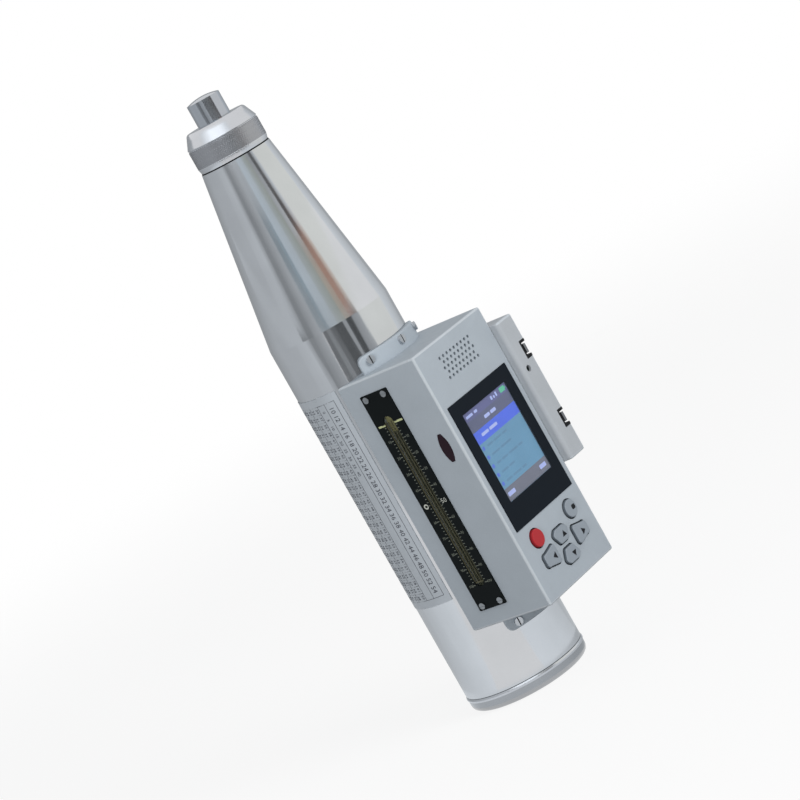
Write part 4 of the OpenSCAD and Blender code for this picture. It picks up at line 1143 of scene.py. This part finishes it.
def card(name, polar, low, high, colour, end_colour):
    """A curved card round the tool between two arcs (radius, height), seen only by reflection."""
    first, last = (math.radians(a) for a in polar)
    points, faces = [], []
    for k in range(CARD_STEPS + 1):
        angle = first + (last - first) * k / CARD_STEPS
        for radius, z in (low, high):
            points.append((radius * math.cos(angle), radius * math.sin(angle), z))
    for k in range(CARD_STEPS):
        faces.append((2 * k, 2 * k + 2, 2 * k + 3, 2 * k + 1))
    mesh = bpy.data.meshes.new(name)
    mesh.from_pydata(points, [], faces)
    tree, end = bare_material(name, mesh)
    glow = add(tree, "Emission", Color=(*colour, 1))
    if colour != end_colour:
        tones = mesh.color_attributes.new("tone", "FLOAT_COLOR", "POINT")
        for i, entry in enumerate(tones.data):
            share = i // 2 / CARD_STEPS
            entry.color = (*(a + (b - a) * share for a, b in zip(colour, end_colour)), 1)
        reader = add(tree, "Attribute")
        reader.attribute_name = "tone"
        tree.links.new(reader.outputs["Color"], glow.inputs["Color"])
    tree.links.new(glow.outputs[0], end)
    obj = placed(name, mesh)
    for ray in ("camera", "diffuse", "transmission", "volume_scatter", "shadow"):
        setattr(obj, "visible_" + ray, False)


make_world()
make_floor()
for entry in LAMPS:
    lamp(*entry)

# Cards: ring, name, polar span in degrees, colour, and the colour at the far end where it fades.
# The straight tube mirrors the low ring, the plunger the tip ring, the cone the high rings, the
# lower tube the floor ring, the rear cap the floor close by, the front of the nose cap the top
# ring and the rear bead the streak. A ring is two arcs (radius, height) in metres.
RING_R, INNER_R = 0.62, 0.6
WHOLE = ((RING_R, 0.0), (RING_R, 0.5))
HIGH = ((RING_R, 0.27), (RING_R, 0.5))
HIGH_LOWER = ((RING_R, 0.27), (RING_R, 0.326))
HIGH_UPPER = ((RING_R, 0.326), (RING_R, 0.364))
HIGH_PEAK = ((RING_R, 0.364), (RING_R, 0.5))
HIGH_MOST = ((RING_R, 0.27), (RING_R, 0.358))
HIGH_TOP = ((RING_R, 0.358), (RING_R, 0.5))
LOW = ((INNER_R, 0.0), (INNER_R, 0.2))
TIP = ((INNER_R, 0.228), (INNER_R, 0.262))
FLOOR = ((0.056, 0.0006), (RING_R, 0.0006))
FLOOR_NEAR = ((0.03, 0.0006), (0.056, 0.0006))
TOP = ((RING_R, 0.66), (RING_R, 1.05))
STREAK = ((INNER_R, 0.44), (INNER_R, 0.58))


def tone(value):
    """A card's colour: a number is a grey, a little cool."""
    return (value * 0.955, value, value * 1.04) if isinstance(value, float) else value


CARDS = [
    (WHOLE, "back_left_edge", (-215, -190), 0.36, 0.44),
    (WHOLE, "back_left", (-190, -164), 0.46, 0.58),
    (WHOLE, "left", (-164, -121), 0.58, 0.61),
    (WHOLE, "left_light", (-121, -101), 0.64, 0.69),
    (WHOLE, "left_soft", (-101, -93), 0.65, 0.47),
    (WHOLE, "flag", (-93, -84), 0.35),
    (WHOLE, "flag_soft", (-84, -67), 0.38, 0.57),
    (HIGH_MOST, "middle_dark", (-69, -58), (0.33, 0.385, 0.42)),
    (HIGH_MOST, "middle_dusk", (-58, -51), (0.35, 0.43, 0.48)),
    (HIGH_TOP, "middle_pale", (-67, -52), 0.57),
    (HIGH, "middle_blue", (-52, -36), (0.61, 0.69, 0.75), (0.58, 0.64, 0.68)),
    (HIGH, "middle_grey", (-36, -21), (0.52, 0.57, 0.58), (0.43, 0.46, 0.42)),
    (HIGH_LOWER, "copper_pale", (-21, -11), (0.53, 0.49, 0.42), (0.54, 0.43, 0.35)),
    (HIGH_LOWER, "copper", (-11, -1), (0.52, 0.33, 0.26)),
    (HIGH_LOWER, "copper_light", (-1, 6), (0.6, 0.45, 0.37), (0.86, 0.79, 0.71)),
    (HIGH_UPPER, "right_light", (-21, -11), 0.5, 0.68),
    (HIGH_UPPER, "right_line", (-11, -3), 0.12),
    (HIGH_UPPER, "right_soft", (-3, 6), 0.4, 0.9),
    (HIGH_PEAK, "right_grey", (-21, -12), 0.43),
    (HIGH_PEAK, "right_dark", (-12, -3), 0.15),
    (HIGH_PEAK, "right_fade", (-3, 6), 0.42, 0.8),
    (HIGH, "right", (6, 66), (0.93, 0.94, 0.9)),
    (WHOLE, "right_edge", (66, 98), 0.9, 0.6),
    (WHOLE, "back_right", (98, 145), 0.5, 0.36),
    (LOW, "low_first", (-66, -59), 0.22),
    (LOW, "low_second", (-59, -52), 0.34),
    (LOW, "low_third", (-52, -44), 0.2),
    (LOW, "low_dark", (-44, -28), 0.13),
    (LOW, "low_light", (-28, -21), 0.45),
    (LOW, "low_black", (-21, -10), 0.1),
    (LOW, "low_grey", (-10, 5), 0.4, 0.5),
    (LOW, "low_right", (5, 66), (0.92, 0.93, 0.9)),
    (TIP, "tip_left", (-170, -105), 0.66),
    (TIP, "tip_line", (-105, -82), 0.22),
    (TIP, "tip_light", (-82, -59), 0.58),
    (TIP, "tip_dark", (-59, 4), 0.09),
    (FLOOR, "floor_left_edge", (-215, -178), 0.5, 0.64),
    (FLOOR, "floor_left", (-178, -140), 0.66, 0.84),
    (FLOOR, "floor_left_light", (-140, -98), 0.84, 0.97),
    (FLOOR, "floor_right_light", (-24, 30), 0.97, 0.9),
    (FLOOR, "floor_right", (30, 75), 0.9, 0.74),
    (FLOOR, "floor_right_edge", (75, 145), 0.66, 0.48),
    (FLOOR_NEAR, "near_left", (-215, -150), 0.5, 0.88),
    (FLOOR_NEAR, "near_middle", (-150, -48), 0.88),
    (FLOOR_NEAR, "near_right", (-48, 60), 0.88, 0.56),
    (FLOOR_NEAR, "near_right_edge", (60, 145), 0.56, 0.42),
    (TOP, "top_left", (-128, -88), 0.9, 1.7),
    (TOP, "top", (-88, -46), 1.7),
    (TOP, "top_right", (-46, -14), 1.7, 0.9),
    (STREAK, "streak_left", (-104, -84), 0.8, 2.0),
    (STREAK, "streak", (-84, -44), 2.0),
    (STREAK, "streak_right", (-44, -28), 2.0, 0.8),
]
for (low, high), name, polar, *colours in CARDS:
    card("card_" + name, polar, low, high, tone(colours[0]), tone(colours[-1]))

bpy.context.scene.view_settings.view_transform = "Standard"
